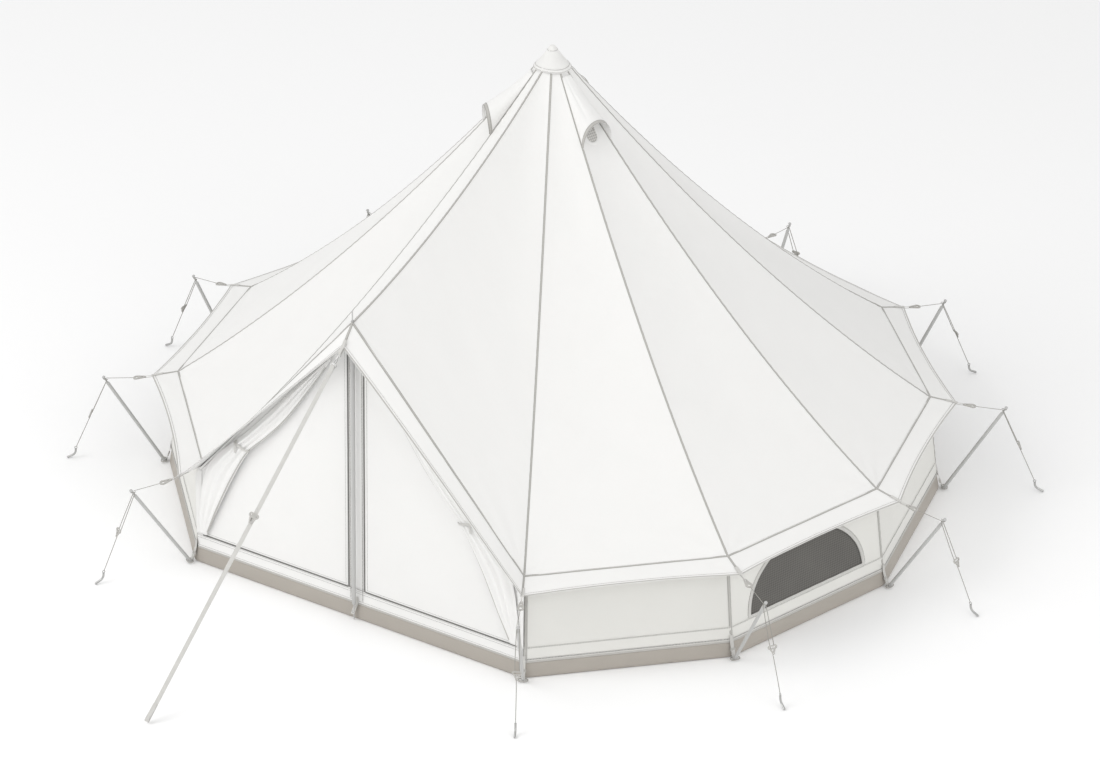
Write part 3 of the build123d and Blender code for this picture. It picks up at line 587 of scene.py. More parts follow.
def door_base(x, z):
    """The door's plane, which leans in a little towards its top."""
    depth = DOOR_PLANE_BOTTOM - DOOR_PLANE_LEAN * (z - WALL_BOTTOM)
    return together(x, -depth, z)


def slope_height(x):
    return DOOR_APEX[1] - DOOR_SLOPE * np.abs(x)


def door_slack(x, z):
    side = np.abs(x)
    roof_gap = np.clip(slope_height(x) - z, 0, None) / 1.5
    free = np.clip((side - 0.06) / 0.25, 0, 1) * np.clip((z - SILL_TOP) / 0.2, 0, 1) * np.clip(roof_gap, 0, 1)
    low = fan(side - 0.06, z - SILL_TOP, 6, 0.4, 0.004) * np.clip((z - SILL_TOP) / 0.05, 0, 1)
    return 0.010 * free * (0.7 + undulate(2.4 * x, 2.1 * z, 8)) + low


door = displaced(door_base, door_slack)


def tub_profile():
    """The groundsheet's half section: out along the ground, round the turn and up the side."""
    turn = 0.016
    above = 0.001
    flat = BASE_RADIUS - turn - 0.004
    lean = atan((BASE_RADIUS - TUB_TOP_RADIUS) / TUB_HEIGHT)
    points = [(share * flat, above) for share in (0.03, 0.2, 0.4, 0.6, 0.8, 0.9, 0.96, 1)]
    for step in range(1, 6):
        angle = (pi / 2 - lean) * step / 5
        points.append((flat + turn * sin(angle), above + turn * (1 - cos(angle))))
    out, up = points[-1]
    for step in range(1, 9):
        share = step / 8
        points.append((out + share * (TUB_TOP_RADIUS - out), up + share * (TUB_HEIGHT - up)))
    return np.array(points)


HOOD_ROOT_RADIUS = 0.136
HOOD_MOUTH_RADIUS = 0.435
HOOD_CREST = (0.432, 2.666)


def seam_line_height(radius):
    return seam_height(radius, (EAVE_RADIUS, EAVE_HEIGHT, EAVE_SLOPE))


def hood_surface(index):
    """One hood: u goes over it from foot to foot and v runs from the root to the mouth."""
    def base(u, v):
        turn = pi * np.asarray(u, float)
        side = 0.5 - 0.5 * np.cos(turn)
        rise = np.clip(np.sin(turn), 0, None) ** 0.85
        radius = HOOD_ROOT_RADIUS + (HOOD_MOUTH_RADIUS - HOOD_ROOT_RADIUS) * v
        foot = mix(corner(index, radius, 0), corner(index + 1, radius, 0), side)
        middle = HOOD_MOUTH_RADIUS * cos(CORNER_ANGLE / 2)
        grow = np.clip(v, 0, None) ** 1.1
        reach = corner(index + 0.5, HOOD_CREST[0] - middle, 0)
        height = seam_line_height(radius) + 0.004
        crest = HOOD_CREST[1] - seam_line_height(HOOD_MOUTH_RADIUS) - 0.004
        foot[..., 2] = height + (crest * grow + 0.006) * rise
        return foot + reach * (rise * grow)[..., None]

    def slack(u, v):
        crease = -0.006 * np.exp(-((u - 0.36) / 0.05) ** 2) * np.sin(pi * np.clip(v * 1.1, 0, 1))
        return crease + 0.003 * undulate(5 * u, 3 * v, 20 + index) * np.sin(pi * np.clip(u, 0, 1))

    return displaced(base, slack, -1)


# --- building cloth -------------------------------------------------------------------------
def link(name, mesh, material):
    mesh.materials.append(material)
    piece = bpy.data.objects.new(name, mesh)
    bpy.context.scene.collection.objects.link(piece)
    return piece


def join_parts(name, parts, material, thickness=CLOTH, flip=False):
    """One mesh from grids of points with their cloth metres, welded and given a thickness."""
    points = []
    faces = []
    cuts = []
    count = 0
    for grid, cut, *keep in parts:
        rows, columns = grid.shape[:2]
        ids = count + np.arange(rows * columns).reshape(rows, columns)
        corners = [ids[:-1, :-1], ids[:-1, 1:], ids[1:, 1:], ids[1:, :-1]]
        if flip:
            corners.reverse()
        quads = np.stack(corners, axis=-1)
        quads = quads[keep[0]] if keep else quads.reshape(-1, 4)
        points.append(grid.reshape(-1, 3))
        cuts.append(cut.reshape(-1, 2)[(quads - count).reshape(-1)])
        faces.append(quads)
        count += rows * columns
    mesh = bpy.data.meshes.new(name)
    mesh.from_pydata(np.concatenate(points).tolist(), [], np.concatenate(faces).tolist())
    layer = mesh.uv_layers.new(name="cloth")
    layer.data.foreach_set("uv", np.concatenate(cuts).astype(np.float32).reshape(-1))
    edit = bmesh.new()
    edit.from_mesh(mesh)
    bmesh.ops.remove_doubles(edit, verts=edit.verts, dist=2e-5)
    bmesh.ops.delete(edit, geom=[vertex for vertex in edit.verts if not vertex.link_faces], context="VERTS")
    edit.to_mesh(mesh)
    edit.free()
    mesh.shade_smooth()
    piece = link(name, mesh, material)
    if thickness:
        solid = piece.modifiers.new("thickness", "SOLIDIFY")
        solid.thickness = thickness
        solid.offset = -1.0
    return piece


def close_ends(piece):
    """Fill a tube's open ends."""
    edit = bmesh.new()
    edit.from_mesh(piece.data)
    bmesh.ops.holes_fill(edit, edges=[edge for edge in edit.edges if edge.is_boundary])
    bmesh.ops.recalc_face_normals(edit, faces=edit.faces)
    edit.to_mesh(piece.data)
    edit.free()
    return piece


def metres_along(line):
    steps = np.linalg.norm(np.diff(line, axis=0), axis=-1)
    return np.concatenate([[0], np.cumsum(steps)])


def patch(surface, u, v, cut=None, lift=0.0):
    """A grid on a surface at the parameters given, with its cloth metres."""
    u, v = np.broadcast_arrays(u, v)
    if cut is None:
        cut = (u, v)
    return surface(u, v, lift), together(*cut)


def eased(count, ease=0.7):
    """Shares from 0 to 1, closer together near both ends."""
    t = np.linspace(0, 1, count)
    return t - ease * np.sin(2 * pi * t) / (2 * pi)


FLAT_TAPE = ((-1.0, -0.0006), (-0.9, 0.0009), (-0.5, 0.0012), (0.0, 0.0012), (0.5, 0.0012), (0.9, 0.0009),
             (1.0, -0.0006))
ROUND_TAPE = ((-1.0, -0.0008), (-0.86, 0.002), (-0.5, 0.0036), (0.0, 0.0042), (0.5, 0.0036), (0.86, 0.002),
              (1.0, -0.0008))


def sideways(surface, us, vs):
    """How far the parameters change for each metre to the side of the line us, vs."""
    step = 1e-3
    by_u = (surface.base(us + step, vs) - surface.base(us - step, vs)) / (2 * step)
    by_v = (surface.base(us, vs + step) - surface.base(us, vs - step)) / (2 * step)
    along = by_u * np.gradient(us)[:, None] + by_v * np.gradient(vs)[:, None]
    side = unit(np.cross(np.cross(by_u, by_v), along))
    uu, vv, uv = ((a * b).sum(-1) for a, b in ((by_u, by_u), (by_v, by_v), (by_u, by_v)))
    su, sv = (by_u * side).sum(-1), (by_v * side).sum(-1)
    scale = uu * vv - uv**2
    return (su * vv - sv * uv) / scale, (sv * uu - su * uv) / scale


def beside(surface, us, vs, off):
    """The line of parameters that runs beside a line on a surface, off metres to its side."""
    to_u, to_v = sideways(surface, us, vs)
    return us + off * to_u, vs + off * to_v


def tape(surface, us, vs, width, lift=0.0, profile=FLAT_TAPE):
    """A raised tape on a surface, along the line of parameters us, vs."""
    to_u, to_v = sideways(surface, us, vs)
    metres = metres_along(surface(us, vs))
    columns = []
    cuts = []
    for place, raised in profile:
        off = place * width / 2
        columns.append(surface(us + to_u * off, vs + to_v * off, raised + lift))
        cuts.append(together(off, metres))
    return np.stack(columns, axis=1), np.stack(cuts, axis=1)


def sewn(name, surface, lines, lift, body="tent", slot="canvas", material=THREAD,
         pitch=0.010, long=0.0072, wide=0.0022, high=0.0007):
    """Rows of short raised dashes on a surface, as one piece: stitches, or a zip's teeth."""
    points = []
    for us, vs in lines:
        path = surface(us, vs, lift)
        normal = surface(us, vs, lift + 0.01) - path
        metres = metres_along(path)
        starts = np.arange(pitch / 2, metres[-1] - long, pitch)
        begin, end, up = (together(*(np.interp(where, metres, values[:, k]) for k in range(3)))
                          for values, where in ((path, starts), (path, starts + long), (normal, starts)))
        along = unit(end - begin)
        up = unit(up)
        side = np.cross(along, up) * wide / 2
        top = up * high
        inset = along * long * 0.18
        points.append(np.stack([begin - side, end - side, end + side, begin + side,
                                begin + inset - side * 0.6 + top, end - inset - side * 0.6 + top,
                                end - inset + side * 0.6 + top, begin + inset + side * 0.6 + top], axis=1))
    points = np.concatenate(points)
    cell = np.array([(0, 1, 5, 4), (1, 2, 6, 5), (2, 3, 7, 6), (3, 0, 4, 7), (4, 5, 6, 7), (3, 2, 1, 0)])
    faces = (np.arange(len(points))[:, None, None] * 8 + cell[None]).reshape(-1, 4)
    mesh = bpy.data.meshes.new(name)
    mesh.from_pydata(points.reshape(-1, 3).tolist(), [], faces.tolist())
    layer = mesh.uv_layers.new(name="cloth")
    flat = np.array([(0, 0), (1, 0), (1, 1), (0, 1), (0.2, 0.2), (0.8, 0.2), (0.8, 0.8), (0.2, 0.8)]) * long
    cuts = np.tile(flat[cell.reshape(-1)], (len(points), 1))
    layer.data.foreach_set("uv", cuts.astype(np.float32).reshape(-1))
    return fit(link(name, mesh, material), body, slot)


def half_moon(half_width, height, sill, bottom, arch):
    """A half-moon outline in metres: along its straight sill, and back over its arch."""
    flat = together(np.linspace(-half_width, half_width, bottom + 1), sill)
    turn = np.linspace(0, pi, arch + 1)
    return flat, together(half_width * np.cos(turn), sill + height * np.sin(turn))


def fit(piece, body, slot, *nodes):
    """Say where a piece rides, its material slot and the CAD nodes that it stands for."""
    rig.slot(piece, slot)
    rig.ride(piece, body)
    if nodes:
        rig.replaces(piece, *nodes)
    return piece


def declare(piece, flat, held, rests_on=(), with_pieces=()):
    """Declare a sheet of cloth; its cut area is its own, measured on one side."""
    area = sum(polygon.area for polygon in piece.data.polygons)
    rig.sheet(piece, flat=flat, held=held, rests_on=rests_on, area=area, with_pieces=with_pieces)


def level(us, v):
    """The line of parameters that crosses a surface at one v."""
    return us, np.full(us.shape, float(v))


def upright(u, vs):
    """The line of parameters that runs along a surface at one u."""
    return np.full(vs.shape, float(u)), vs


def both_sides(surface, line, off):
    """The two lines that run beside a line, at the same distance from it."""
    return [beside(surface, *line, away) for away in (-off, off)]


def taped(name, tapes, material=TAPE, body="tent", slot="canvas", nodes=()):
    """Tapes joined into one piece that rides on a body."""
    return fit(join_parts(name, tapes, material, thickness=0), body, slot, *nodes)


def lone_tape(name, surface, line, width, lift=0.0, profile=FLAT_TAPE, **rest):
    """One tape as a piece of its own."""
    return taped(name, [tape(surface, *line, width, lift, profile)], **rest)


def cut_cloth(name, parts, *nodes, material=CANVAS, body="tent", slot="canvas", thickness=CLOTH, flip=False):
    """A sheet of cloth that rides on a body and stands for CAD nodes."""
    return fit(join_parts(name, parts, material, thickness, flip), body, slot, *nodes)


# --- camera, floor and light ----------------------------------------------------------------
def camera():
    """The view from the front right and above, through a long lens."""
    azimuth = radians(34.05)
    elevation = radians(28.52)
    distance = 31.8
    target = Vector((-0.0186, 0.0, 0.6917))
    away = Vector((sin(azimuth) * cos(elevation), -cos(azimuth) * cos(elevation), sin(elevation)))
    data = bpy.data.cameras.new("camera")
    data.sensor_width = 36.0
    data.lens = 162.5
    data.clip_end = 200.0
    eye = bpy.data.objects.new("camera", data)
    eye.location = target + away * distance
    eye.rotation_euler = away.to_track_quat("Z", "Y").to_euler()
    bpy.context.scene.collection.objects.link(eye)
    bpy.context.scene.camera = eye


def studio():
    """A pale floor, a soft key from the left front, a fill from the right, and an even sky."""
    bpy.ops.mesh.primitive_circle_add(vertices=64, radius=90, fill_type="NGON", location=(0, 0, -0.0005))
    floor = bpy.context.object
    floor.name = "floor"
    pale = Material("floor", (0.97, 0.97, 0.97), 0.9, Specular_IOR_Level=0.1)
    vector = pale.object_place()
    pale.tint(pale.noise(vector, 0.3, 2), 0.995, 1.005)
    floor.data.materials.append(pale.data)
    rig.stage(floor)

    scene = bpy.context.scene
    scene.world = bpy.data.worlds.new("sky")
    scene.world.use_nodes = True
    sky = scene.world.node_tree.nodes["Background"]
    sky.inputs["Color"].default_value = (1, 1, 1, 1)
    sky.inputs["Strength"].default_value = 0.82
    lamps = (("key", 9.0, 760.0, (-7.0, -11.0, 11.0)), ("fill", 8.0, 330.0, (12.0, -4.0, 7.0)))
    for name, size, power, place in lamps:
        light = bpy.data.lights.new(name, "AREA")
        light.size = size
        light.energy = power
        lamp = bpy.data.objects.new(name, light)
        lamp.location = place
        lamp.rotation_euler = Vector(place).to_track_quat("Z", "Y").to_euler()
        scene.collection.objects.link(lamp)
    scene.view_settings.view_transform = "Standard"


camera()
studio()


# --- cords ----------------------------------------------------------------------------------
SIDE_FOOT = Vector((2.530, 0.0, 0.013))
SIDE_TIP = Vector((2.888, 0.0, 0.5875))
POLE_UP = (SIDE_TIP - SIDE_FOOT).normalized()
NECK_RADIUS = 0.006
ROPE_DIAMETER = 0.005
CORD_DIAMETER = 0.004
PEG_EYE = Vector((3.105, 0.0, 0.079))
GUY_TIP = SIDE_TIP - POLE_UP * 0.009
EAVE_TIP = SIDE_TIP + POLE_UP * 0.009
GUY_UP = (GUY_TIP - PEG_EYE).normalized()
SLIDER_AT = PEG_EYE + GUY_UP * ((0.345 - PEG_EYE.z) / GUY_UP.z)
ACROSS = Vector((0, 1, 0))
ALONG_X = Vector((1, 0, 0))

FRONT_START = Vector((0.0, -DOOR_HEM_RADIUS, DOOR_HEM_HEIGHT - 0.004))
FRONT_END = Vector((-0.322, -3.829, 0.014))
FRONT_DOWN = (FRONT_END - FRONT_START).normalized()
FRONT_ACROSS = Vector((-FRONT_DOWN.y, FRONT_DOWN.x, 0)).normalized()
STRAP_WIDTH = 0.035


def turned(index):
    return Matrix.Rotation(CORNER_ANGLE * index - pi / 2, 4, "Z")


def guy_route():
    """Peg to slider, up to the pole's neck, round it and back to the slider."""
    tip = (GUY_TIP - SLIDER_AT).length
    side = NECK_RADIUS + ROPE_DIAMETER / 2 + 0.0008
    over = side / sin(GUY_UP.angle(POLE_UP))
    route = [(-0.060, 0), (-0.022, -0.005), (0.014, -0.015), (tip - 0.022, -side - 0.0005),
             (tip + over, -side), (tip + over, side), (tip - 0.022, side + 0.0005), (0.008, 0.015)]
    return [PEG_EYE + GUY_UP * 0.004] + [SLIDER_AT + GUY_UP * up + ACROSS * across for up, across in route]


def eave_place(out, up):
    """A point beside a hem corner, out towards the pole's tip and square to that."""
    hem = Vector((HEM_RADIUS, 0, HEM_HEIGHT))
    run = (SIDE_TIP - hem).normalized()
    return hem + run * out + Vector((-run.z, 0, run.x)) * up


def eave_route():
    """From the toggle's eye to the pole's neck, round it, and tied back beside itself."""
    side = NECK_RADIUS + CORD_DIAMETER / 2 + 0.0008
    start = eave_place(0.040 + 0.085 - 0.012, -0.0035)
    along = (EAVE_TIP - start).normalized()
    over = side / sin(along.angle(POLE_UP))
    return [start, start + along * 0.024 - ACROSS * 0.002,
            EAVE_TIP - along * 0.026 - ACROSS * (side + 0.0005),
            EAVE_TIP + along * over - ACROSS * side, EAVE_TIP + along * over + ACROSS * side,
            EAVE_TIP - along * 0.022 + ACROSS * side]


def smooth_line(points, spacing):
    """Points along the NURBS curve of a route, evenly spaced."""
    curve = bpy.data.curves.new("route", "CURVE")
    curve.dimensions = "3D"
    spline = curve.splines.new("NURBS")
    spline.points.add(len(points) - 1)
    for point, place in zip(spline.points, points):
        point.co = (*place, 1)
    spline.order_u = 3
    spline.use_endpoint_u = True
    spline.resolution_u = 24
    holder = bpy.data.objects.new("route", curve)
    bpy.context.scene.collection.objects.link(holder)
    mesh = bpy.data.meshes.new_from_object(holder)
    line = np.array([vertex.co for vertex in mesh.vertices])
    bpy.data.objects.remove(holder)
    bpy.data.curves.remove(curve)
    bpy.data.meshes.remove(mesh)
    metres = metres_along(line)
    even = np.linspace(0, metres[-1], max(8, round(metres[-1] / spacing)))
    return together(*(np.interp(even, metres, line[:, k]) for k in range(3))), metres[-1]


def laid_rope(name, line, diameter, strands=3, sides=12, lay=3.4):
    """A laid rope: its strands wind round the line once in lay diameters."""
    tangent = unit(np.gradient(line, axis=0))
    side = np.cross(tangent[0], (0.3, 0.5, 0.8))
    metres = metres_along(line)
    turn = np.linspace(0, 2 * pi, sides + 1)
    rings = []
    for here, along, run in zip(line, tangent, metres):
        side = unit(side - along * np.dot(side, along))
        up = np.cross(along, side)
        twist = strands * turn - 2 * pi * run / (lay * diameter)
        radius = diameter / 2 * (0.90 + 0.12 * np.cos(twist))
        rings.append(here + radius[:, None] * (np.cos(turn)[:, None] * side + np.sin(turn)[:, None] * up))
    grid = (np.array(rings), together(turn[None, :] * diameter / 2, metres[:, None]))
    return close_ends(join_parts(name, [grid], ROPE, thickness=0, flip=True))


POLE_CORDS = (("guy_rope", "guy_ropes", guy_route(), 0.0022, ROPE_DIAMETER, SLIDER_AT - GUY_UP * 0.085),
              ("eave_cord", "eave_cords", eave_route(), 0.0020, CORD_DIAMETER, EAVE_TIP - POLE_UP * 0.03))


def pole_cords():
    """The guy rope and eave cord of each pole; both give as the pole leans in."""
    lines = [smooth_line(route, spacing) for _, _, route, spacing, _, _ in POLE_CORDS]
    for index in POLES:
        turn = turned(index)
        for (name, node, _, _, diameter, give), (line, length) in zip(POLE_CORDS, lines):
            line = line @ np.array(turn.to_3x3()).T
            cord = laid_rope(f"{name}_{index:02d}", line, diameter)
            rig.slot(cord, "rope")
            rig.replaces(cord, node)
            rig.blend(cord, "tent", f"pole_{index:02d}", start=line[0], end=turn @ give)
            held = [f"guy_slider_{index:02d}"] if name == "guy_rope" else []
            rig.cord(cord, exit=line[0], length=length, diameter=diameter, far_end="knot", stiffness="limp",
                    lay="taut", path=line, with_pieces=held)


STRAP_SECTION = ((-0.5, 0), (-0.47, 0.38), (-0.3, 0.5), (0, 0.42), (0.3, 0.5), (0.47, 0.38))


def flat_strap(name, line, across, width, thickness):
    """Webbing along a line, with slightly rounded edges, closed at both ends."""
    across = np.array(across, float)
    face = unit(np.cross(across, unit(np.gradient(line, axis=0))))
    metres = metres_along(line)
    outline = (*STRAP_SECTION, *((-a, -b) for a, b in STRAP_SECTION), STRAP_SECTION[0])
    columns = [line + across * a * width + face * b * thickness for a, b in outline]
    cuts = [together(a * width, metres) for a, _ in outline]
    grid = (np.stack(columns, axis=1), np.stack(cuts, axis=1))
    return close_ends(join_parts(name, [grid], WEBBING, thickness=0))


def strap_along(name, route, across, width, thickness, spacing=0.003):
    """Webbing along the smooth line of a route."""
    line, _ = smooth_line(route, spacing)
    return flat_strap(name, line, across, width, thickness)


def front_strap():
    """The door's guy: a flat strap pulled tight from its snap hook to the ground."""
    begin = 0.140
    length = (FRONT_END - FRONT_START).length
    route = [FRONT_START + FRONT_DOWN * (begin + (length - begin) * share) for share in
             (0, 0.13, 0.29, 0.45, 0.6, 0.74, 0.88, 1)]
    line, long = smooth_line(route, 0.02)
    strap = flat_strap("front_guy_strap", line, FRONT_ACROSS, STRAP_WIDTH, 0.0025)
    fit(strap, "tent", "webbing", "front_strap")
    face = FRONT_ACROSS.cross(-FRONT_DOWN)
    fold = [FRONT_END + FRONT_DOWN * down + face * out for down, out in
            ((-0.115, 0.004), (-0.06, 0.0045), (-0.012, 0.0075), (0.004, 0.003), (-0.006, -0.001))]
    end = fit(strap_along("front_guy_fold", fold, FRONT_ACROSS, STRAP_WIDTH, 0.0025), "tent", "webbing")
    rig.cord(strap, exit=line[0], length=long, diameter=STRAP_WIDTH, far_end="fitting", stiffness="medium",
            lay="taut", with_pieces=[end, "front_buckle", "front_hook"], path=line)


pole_cords()
front_strap()


# --- roof -----------------------------------------------------------------------------------
VENT_AT = 0.36
VENT_HALF_LENGTH = 0.1
VENT_HALF_WIDTH = 0.045


def gore_width(v):
    return GORE_WIDTH * (PEAK_RADIUS + v * (EAVE_RADIUS - PEAK_RADIUS)) / EAVE_RADIUS


def vent_outline(grow=0.0, count=48):
    """The vent's slot: two straight sides with round ends, as (across, down the slope)."""
    turn = np.linspace(0, 2 * pi, count + 1)
    straight = VENT_HALF_LENGTH - VENT_HALF_WIDTH
    radius = VENT_HALF_WIDTH + grow
    down = VENT_AT + np.sign(np.sin(turn)) * straight + radius * np.sin(turn)
    return together(radius * np.cos(turn), down)


def on_gore(index, places):
    """Roof parameters of places given in metres across a gore and down its slope."""
    v = places[..., 1] / GORE_LENGTH
    return index + 0.5 + places[..., 0] / gore_width(v), v


def roof_cloth():
    shares = eased(29)
    downs = np.linspace(0, 1, 290)
    along = np.linspace(0.004, 1.0, 260)
    parts = []
    seams = []
    threads = []
    for index in CORNERS:
        u, v = np.meshgrid(index + shares, downs)
        cut = ((u - index - 0.5) * gore_width(v), v * GORE_LENGTH)
        grid = patch(roof, u, v, cut)
        if index in VENT_SIDES:
            x, y = ((values[:-1, :-1] + values[1:, 1:]) / 2 for values in cut)
            over = np.clip(np.abs(y - VENT_AT) - (VENT_HALF_LENGTH - VENT_HALF_WIDTH), 0, None)
            grid = (*grid, np.hypot(x, over) > VENT_HALF_WIDTH)
        parts.append(grid)
        seams.append(tape(roof, *upright(index, along), SEAM_WIDTH))
        threads += both_sides(roof, upright(index, along), STITCHES_APART)
    cloth = cut_cloth("roof_cloth", parts, "roof_canopy", flip=True)
    tapes = taped("roof_seams", seams)
    sewing = sewn("roof_stitching", roof, threads, 0.0012)
    declare(cloth, (8.1, 3.32), "stretched", ["centre_pole_upper"], [tapes, sewing])


def vents():
    for index in VENT_SIDES:
        rings = np.linspace(0, 1, 8)[:, None, None]
        places = np.array([0, VENT_AT]) * (1 - rings) + vent_outline(0.006)[None] * rings
        net = patch(roof, *on_gore(index, places), (places[..., 0], places[..., 1]), 0.0006)
        mesh = cut_cloth(f"vent_mesh_{index:02d}", [net], "vent_meshes", material=VENT_NET, slot="mesh",
                         thickness=0.0008)
        ring = lone_tape(f"vent_binding_{index:02d}", roof, on_gore(index, vent_outline(0.004)), 0.018, 0.001,
                         material=CANVAS, slot="webbing")
        declare(mesh, (0.11, 0.22), "stretched", ["roof_cloth"], [ring])


def eave_flap():
    shares = eased(33)
    downs = np.linspace(0, 1, 15)
    parts = []
    tapes = []
    hems = []
    threads = []
    for index in CORNERS:
        u, v = np.meshgrid(index + shares, downs)
        parts.append(patch(flap, u, v, ((u - index) * GORE_WIDTH, v * FLAP_DEPTH)))
        us = index + np.linspace(0, 1, 60)
        top = level(us, 0.02)
        low = level(us, 0.94)
        down = upright(index, np.linspace(0.02, 0.99, 20))
        hems.append(tape(flap, *low, HEM_WIDTH, HEM_LIFT))
        tapes += [tape(flap, *top, SEAM_WIDTH, 0.0008), tape(flap, *level(us, 0.982), 0.009, 0.0014),
                  tape(flap, *down, SEAM_WIDTH, 0.001)]
        threads += [*both_sides(flap, top, STITCHES_APART), beside(flap, *low, -0.0085),
                    *both_sides(flap, down, STITCHES_APART)]
    cloth = cut_cloth("flap_cloth", parts, "eave_flap", flip=True)
    seams = taped("flap_seams", tapes)
    hem = taped("flap_hem", hems, CANVAS)
    sewing = sewn("flap_stitching", flap, threads, 0.0022)
    declare(cloth, (14.8, 0.21), "stretched", ["roof_cloth"], [seams, hem, sewing])


def vent_hoods():
    u, v = np.meshgrid(np.linspace(0, 1, 61), np.linspace(0, 1, 31))
    us = np.linspace(0.002, 0.998, 60)
    for index in VENT_SIDES:
        surface = hood_surface(index)
        panel = patch(surface, u, v, (u * 0.30, v * 0.45))
        hood = cut_cloth(f"hood_{index:02d}", [panel], "vent_hoods", flip=True)
        hem = lone_tape(f"hood_hem_{index:02d}", surface, level(us, 0.965), HEM_WIDTH, HEM_LIFT)
        rows = [level(us, place) for place in (0.938, 0.99)]
        sewing = sewn(f"hood_stitching_{index:02d}", surface, rows, 0.0018)
        declare(hood, (0.36, 0.50), "stretched", ["roof_cloth"], [hem, sewing])


CAP_EDGE = 0.119
CAP_PROFILE = ((0.0006, 3.0536), (0.0090, 3.0526), (0.0165, 3.0485), (0.0215, 3.0410), (0.0260, 3.0320),
               (0.0400, 3.0120), (0.0750, 2.9640))
CAP_DOOR_RISE = 0.012


def cap_base(u, v):
    """u goes round through the corners, and v runs from the top to the edge, which lies on the roof."""
    door = np.abs((u + 6) % 12 - 6)
    edge = seam_line_height(CAP_EDGE) + 0.005 + CAP_DOOR_RISE * np.exp(-((door / 1.5) ** 2))
    radii, heights = (np.array(values) for values in zip(*CAP_PROFILE))
    places = metres_along(np.column_stack([radii, heights, heights * 0]))
    rest = places[-1] + float(np.hypot(CAP_EDGE - radii[-1], heights[-1] - seam_line_height(CAP_EDGE)))
    at = v * rest
    cone = np.clip((at - places[-1]) / (rest - places[-1]), 0, None)
    radius = np.interp(at, places, radii) + (CAP_EDGE - radii[-1]) * cone
    height = np.interp(at, places, heights) + (edge - heights[-1]) * cone
    return corner(u, radius, height)


def cap_slack(u, v):
    return 0.0006 * np.sin(2 * pi * u / 3) * np.clip(v, 0, 1) ** 2


cap = displaced(cap_base, cap_slack, -1)


def peak_cap():
    us = np.linspace(0, 12, 121)
    u, v = np.meshgrid(us, np.linspace(0, 1, 49))
    cone = [patch(cap, u, v, (u * 0.068, v * 0.19))]
    cloth = cut_cloth("cap_cloth", cone, "peak_cap", material=CAP_CLOTH, slot="cap_cloth", thickness=0.0025,
                      flip=True)
    hem, collar = (lone_tape(name, cap, level(us, place), width, HEM_LIFT, material=CAP_CLOTH,
                             slot="cap_cloth")
                   for name, place, width in (("cap_hem", 0.93, 0.020), ("cap_collar", 0.19, 0.012)))
    rows = [level(us, place) for place in (0.87, 0.97, 0.23)]
    sewing = sewn("cap_stitching", cap, rows, 0.0018, slot="cap_cloth", pitch=0.008, long=0.0055)
    declare(cloth, (0.36, 0.36), "stretched", ["roof_cloth"], [hem, collar, sewing])


# --- walls and groundsheet ------------------------------------------------------------------
WALL_TOP = 0.668
WINDOW_HALF_WIDTH = 0.47
WINDOW_HEIGHT = 0.39
WINDOW_SILL = 0.215
NET_MARGIN = 0.012
ZIP_HEIGHT = 0.1215


def on_side(index, places):
    """Wall parameters of places in metres along a side from its middle, and up."""
    return index + 0.5 + places[..., 0] / WALL_SIDE, places[..., 1]


def window_wall(index, heights):
    """A wall panel round its half-moon hole: rings from the hole's edge to the panel's edges."""
    arch = 2 * (len(heights) - 1) + 48
    flat, curve = half_moon(WINDOW_HALF_WIDTH, WINDOW_HEIGHT, WINDOW_SILL, 30, arch)
    inner = np.concatenate([flat[:-1], curve])
    half = WALL_SIDE / 2
    low = together(np.linspace(-half, half, 31), heights[0])
    high = together(np.linspace(half, -half, 49), heights[-1])
    right = together(half, heights)
    outer = np.concatenate([low[:-1], right[:-1], high[:-1], right[::-1] * (-1, 1)])
    places = inner[None] + (outer - inner)[None] * np.linspace(0, 1, 16)[:, None, None]
    return patch(wall, *on_side(index, places), (places[..., 0], places[..., 1]))


def walls():
    heights = np.linspace(WALL_BOTTOM, WALL_TOP, 29)
    parts = []
    windowed = []
    for index in range(1, 11):
        if index in WINDOW_SIDES:
            grid, cut = window_wall(index, heights)
            windowed.append((grid[:, ::-1], cut[:, ::-1]))
        else:
            u, v = np.meshgrid(index + eased(41), heights)
            parts.append(patch(wall, u, v, ((u - index) * WALL_SIDE, v)))
    cloth = cut_cloth("wall_cloth", parts + windowed, "wall_panels", material=WALL_CLOTH)

    us = np.linspace(1, 11, 501)
    zip_line = level(us, ZIP_HEIGHT)
    band = lone_tape("wall_band", wall, level(us, BAND_TOP - BAND_WIDTH / 2), BAND_WIDTH, 0.0012,
                     material=WALL_CLOTH)
    rim = lone_tape("wall_rim", wall, level(us, RIM_HEIGHT), RIM_WIDTH, 0.0014, ROUND_TAPE, slot="webbing",
                    nodes=["ground_zip"])
    zipper = lone_tape("ground_zip_tape", wall, zip_line, 0.016, 0.0024, material=WEBBING, slot="webbing")
    teeth = sewn("ground_zip_teeth", wall, [zip_line], 0.0034, slot="plastic", material=COIL, pitch=0.009,
                 long=0.005, wide=0.005, high=0.0014)
    seams = []
    threads = [level(us, 0.1995), level(us, 0.1945)]
    vs = np.linspace(0.112, WALL_TOP, 60)
    for index in range(1, 12):
        line = upright(min(max(index, 1.010), 10.990), vs)
        seams.append(tape(wall, *line, 0.020, 0.0016))
        threads += both_sides(wall, line, 0.0062)
    tapes = taped("wall_seams", seams)
    sewing = sewn("wall_stitching", wall, threads, 0.0026)
    declare(cloth, (12.8, 0.58), "stretched", ["roof_cloth", "groundsheet_cloth"],
            [band, rim, zipper, teeth, tapes, sewing])


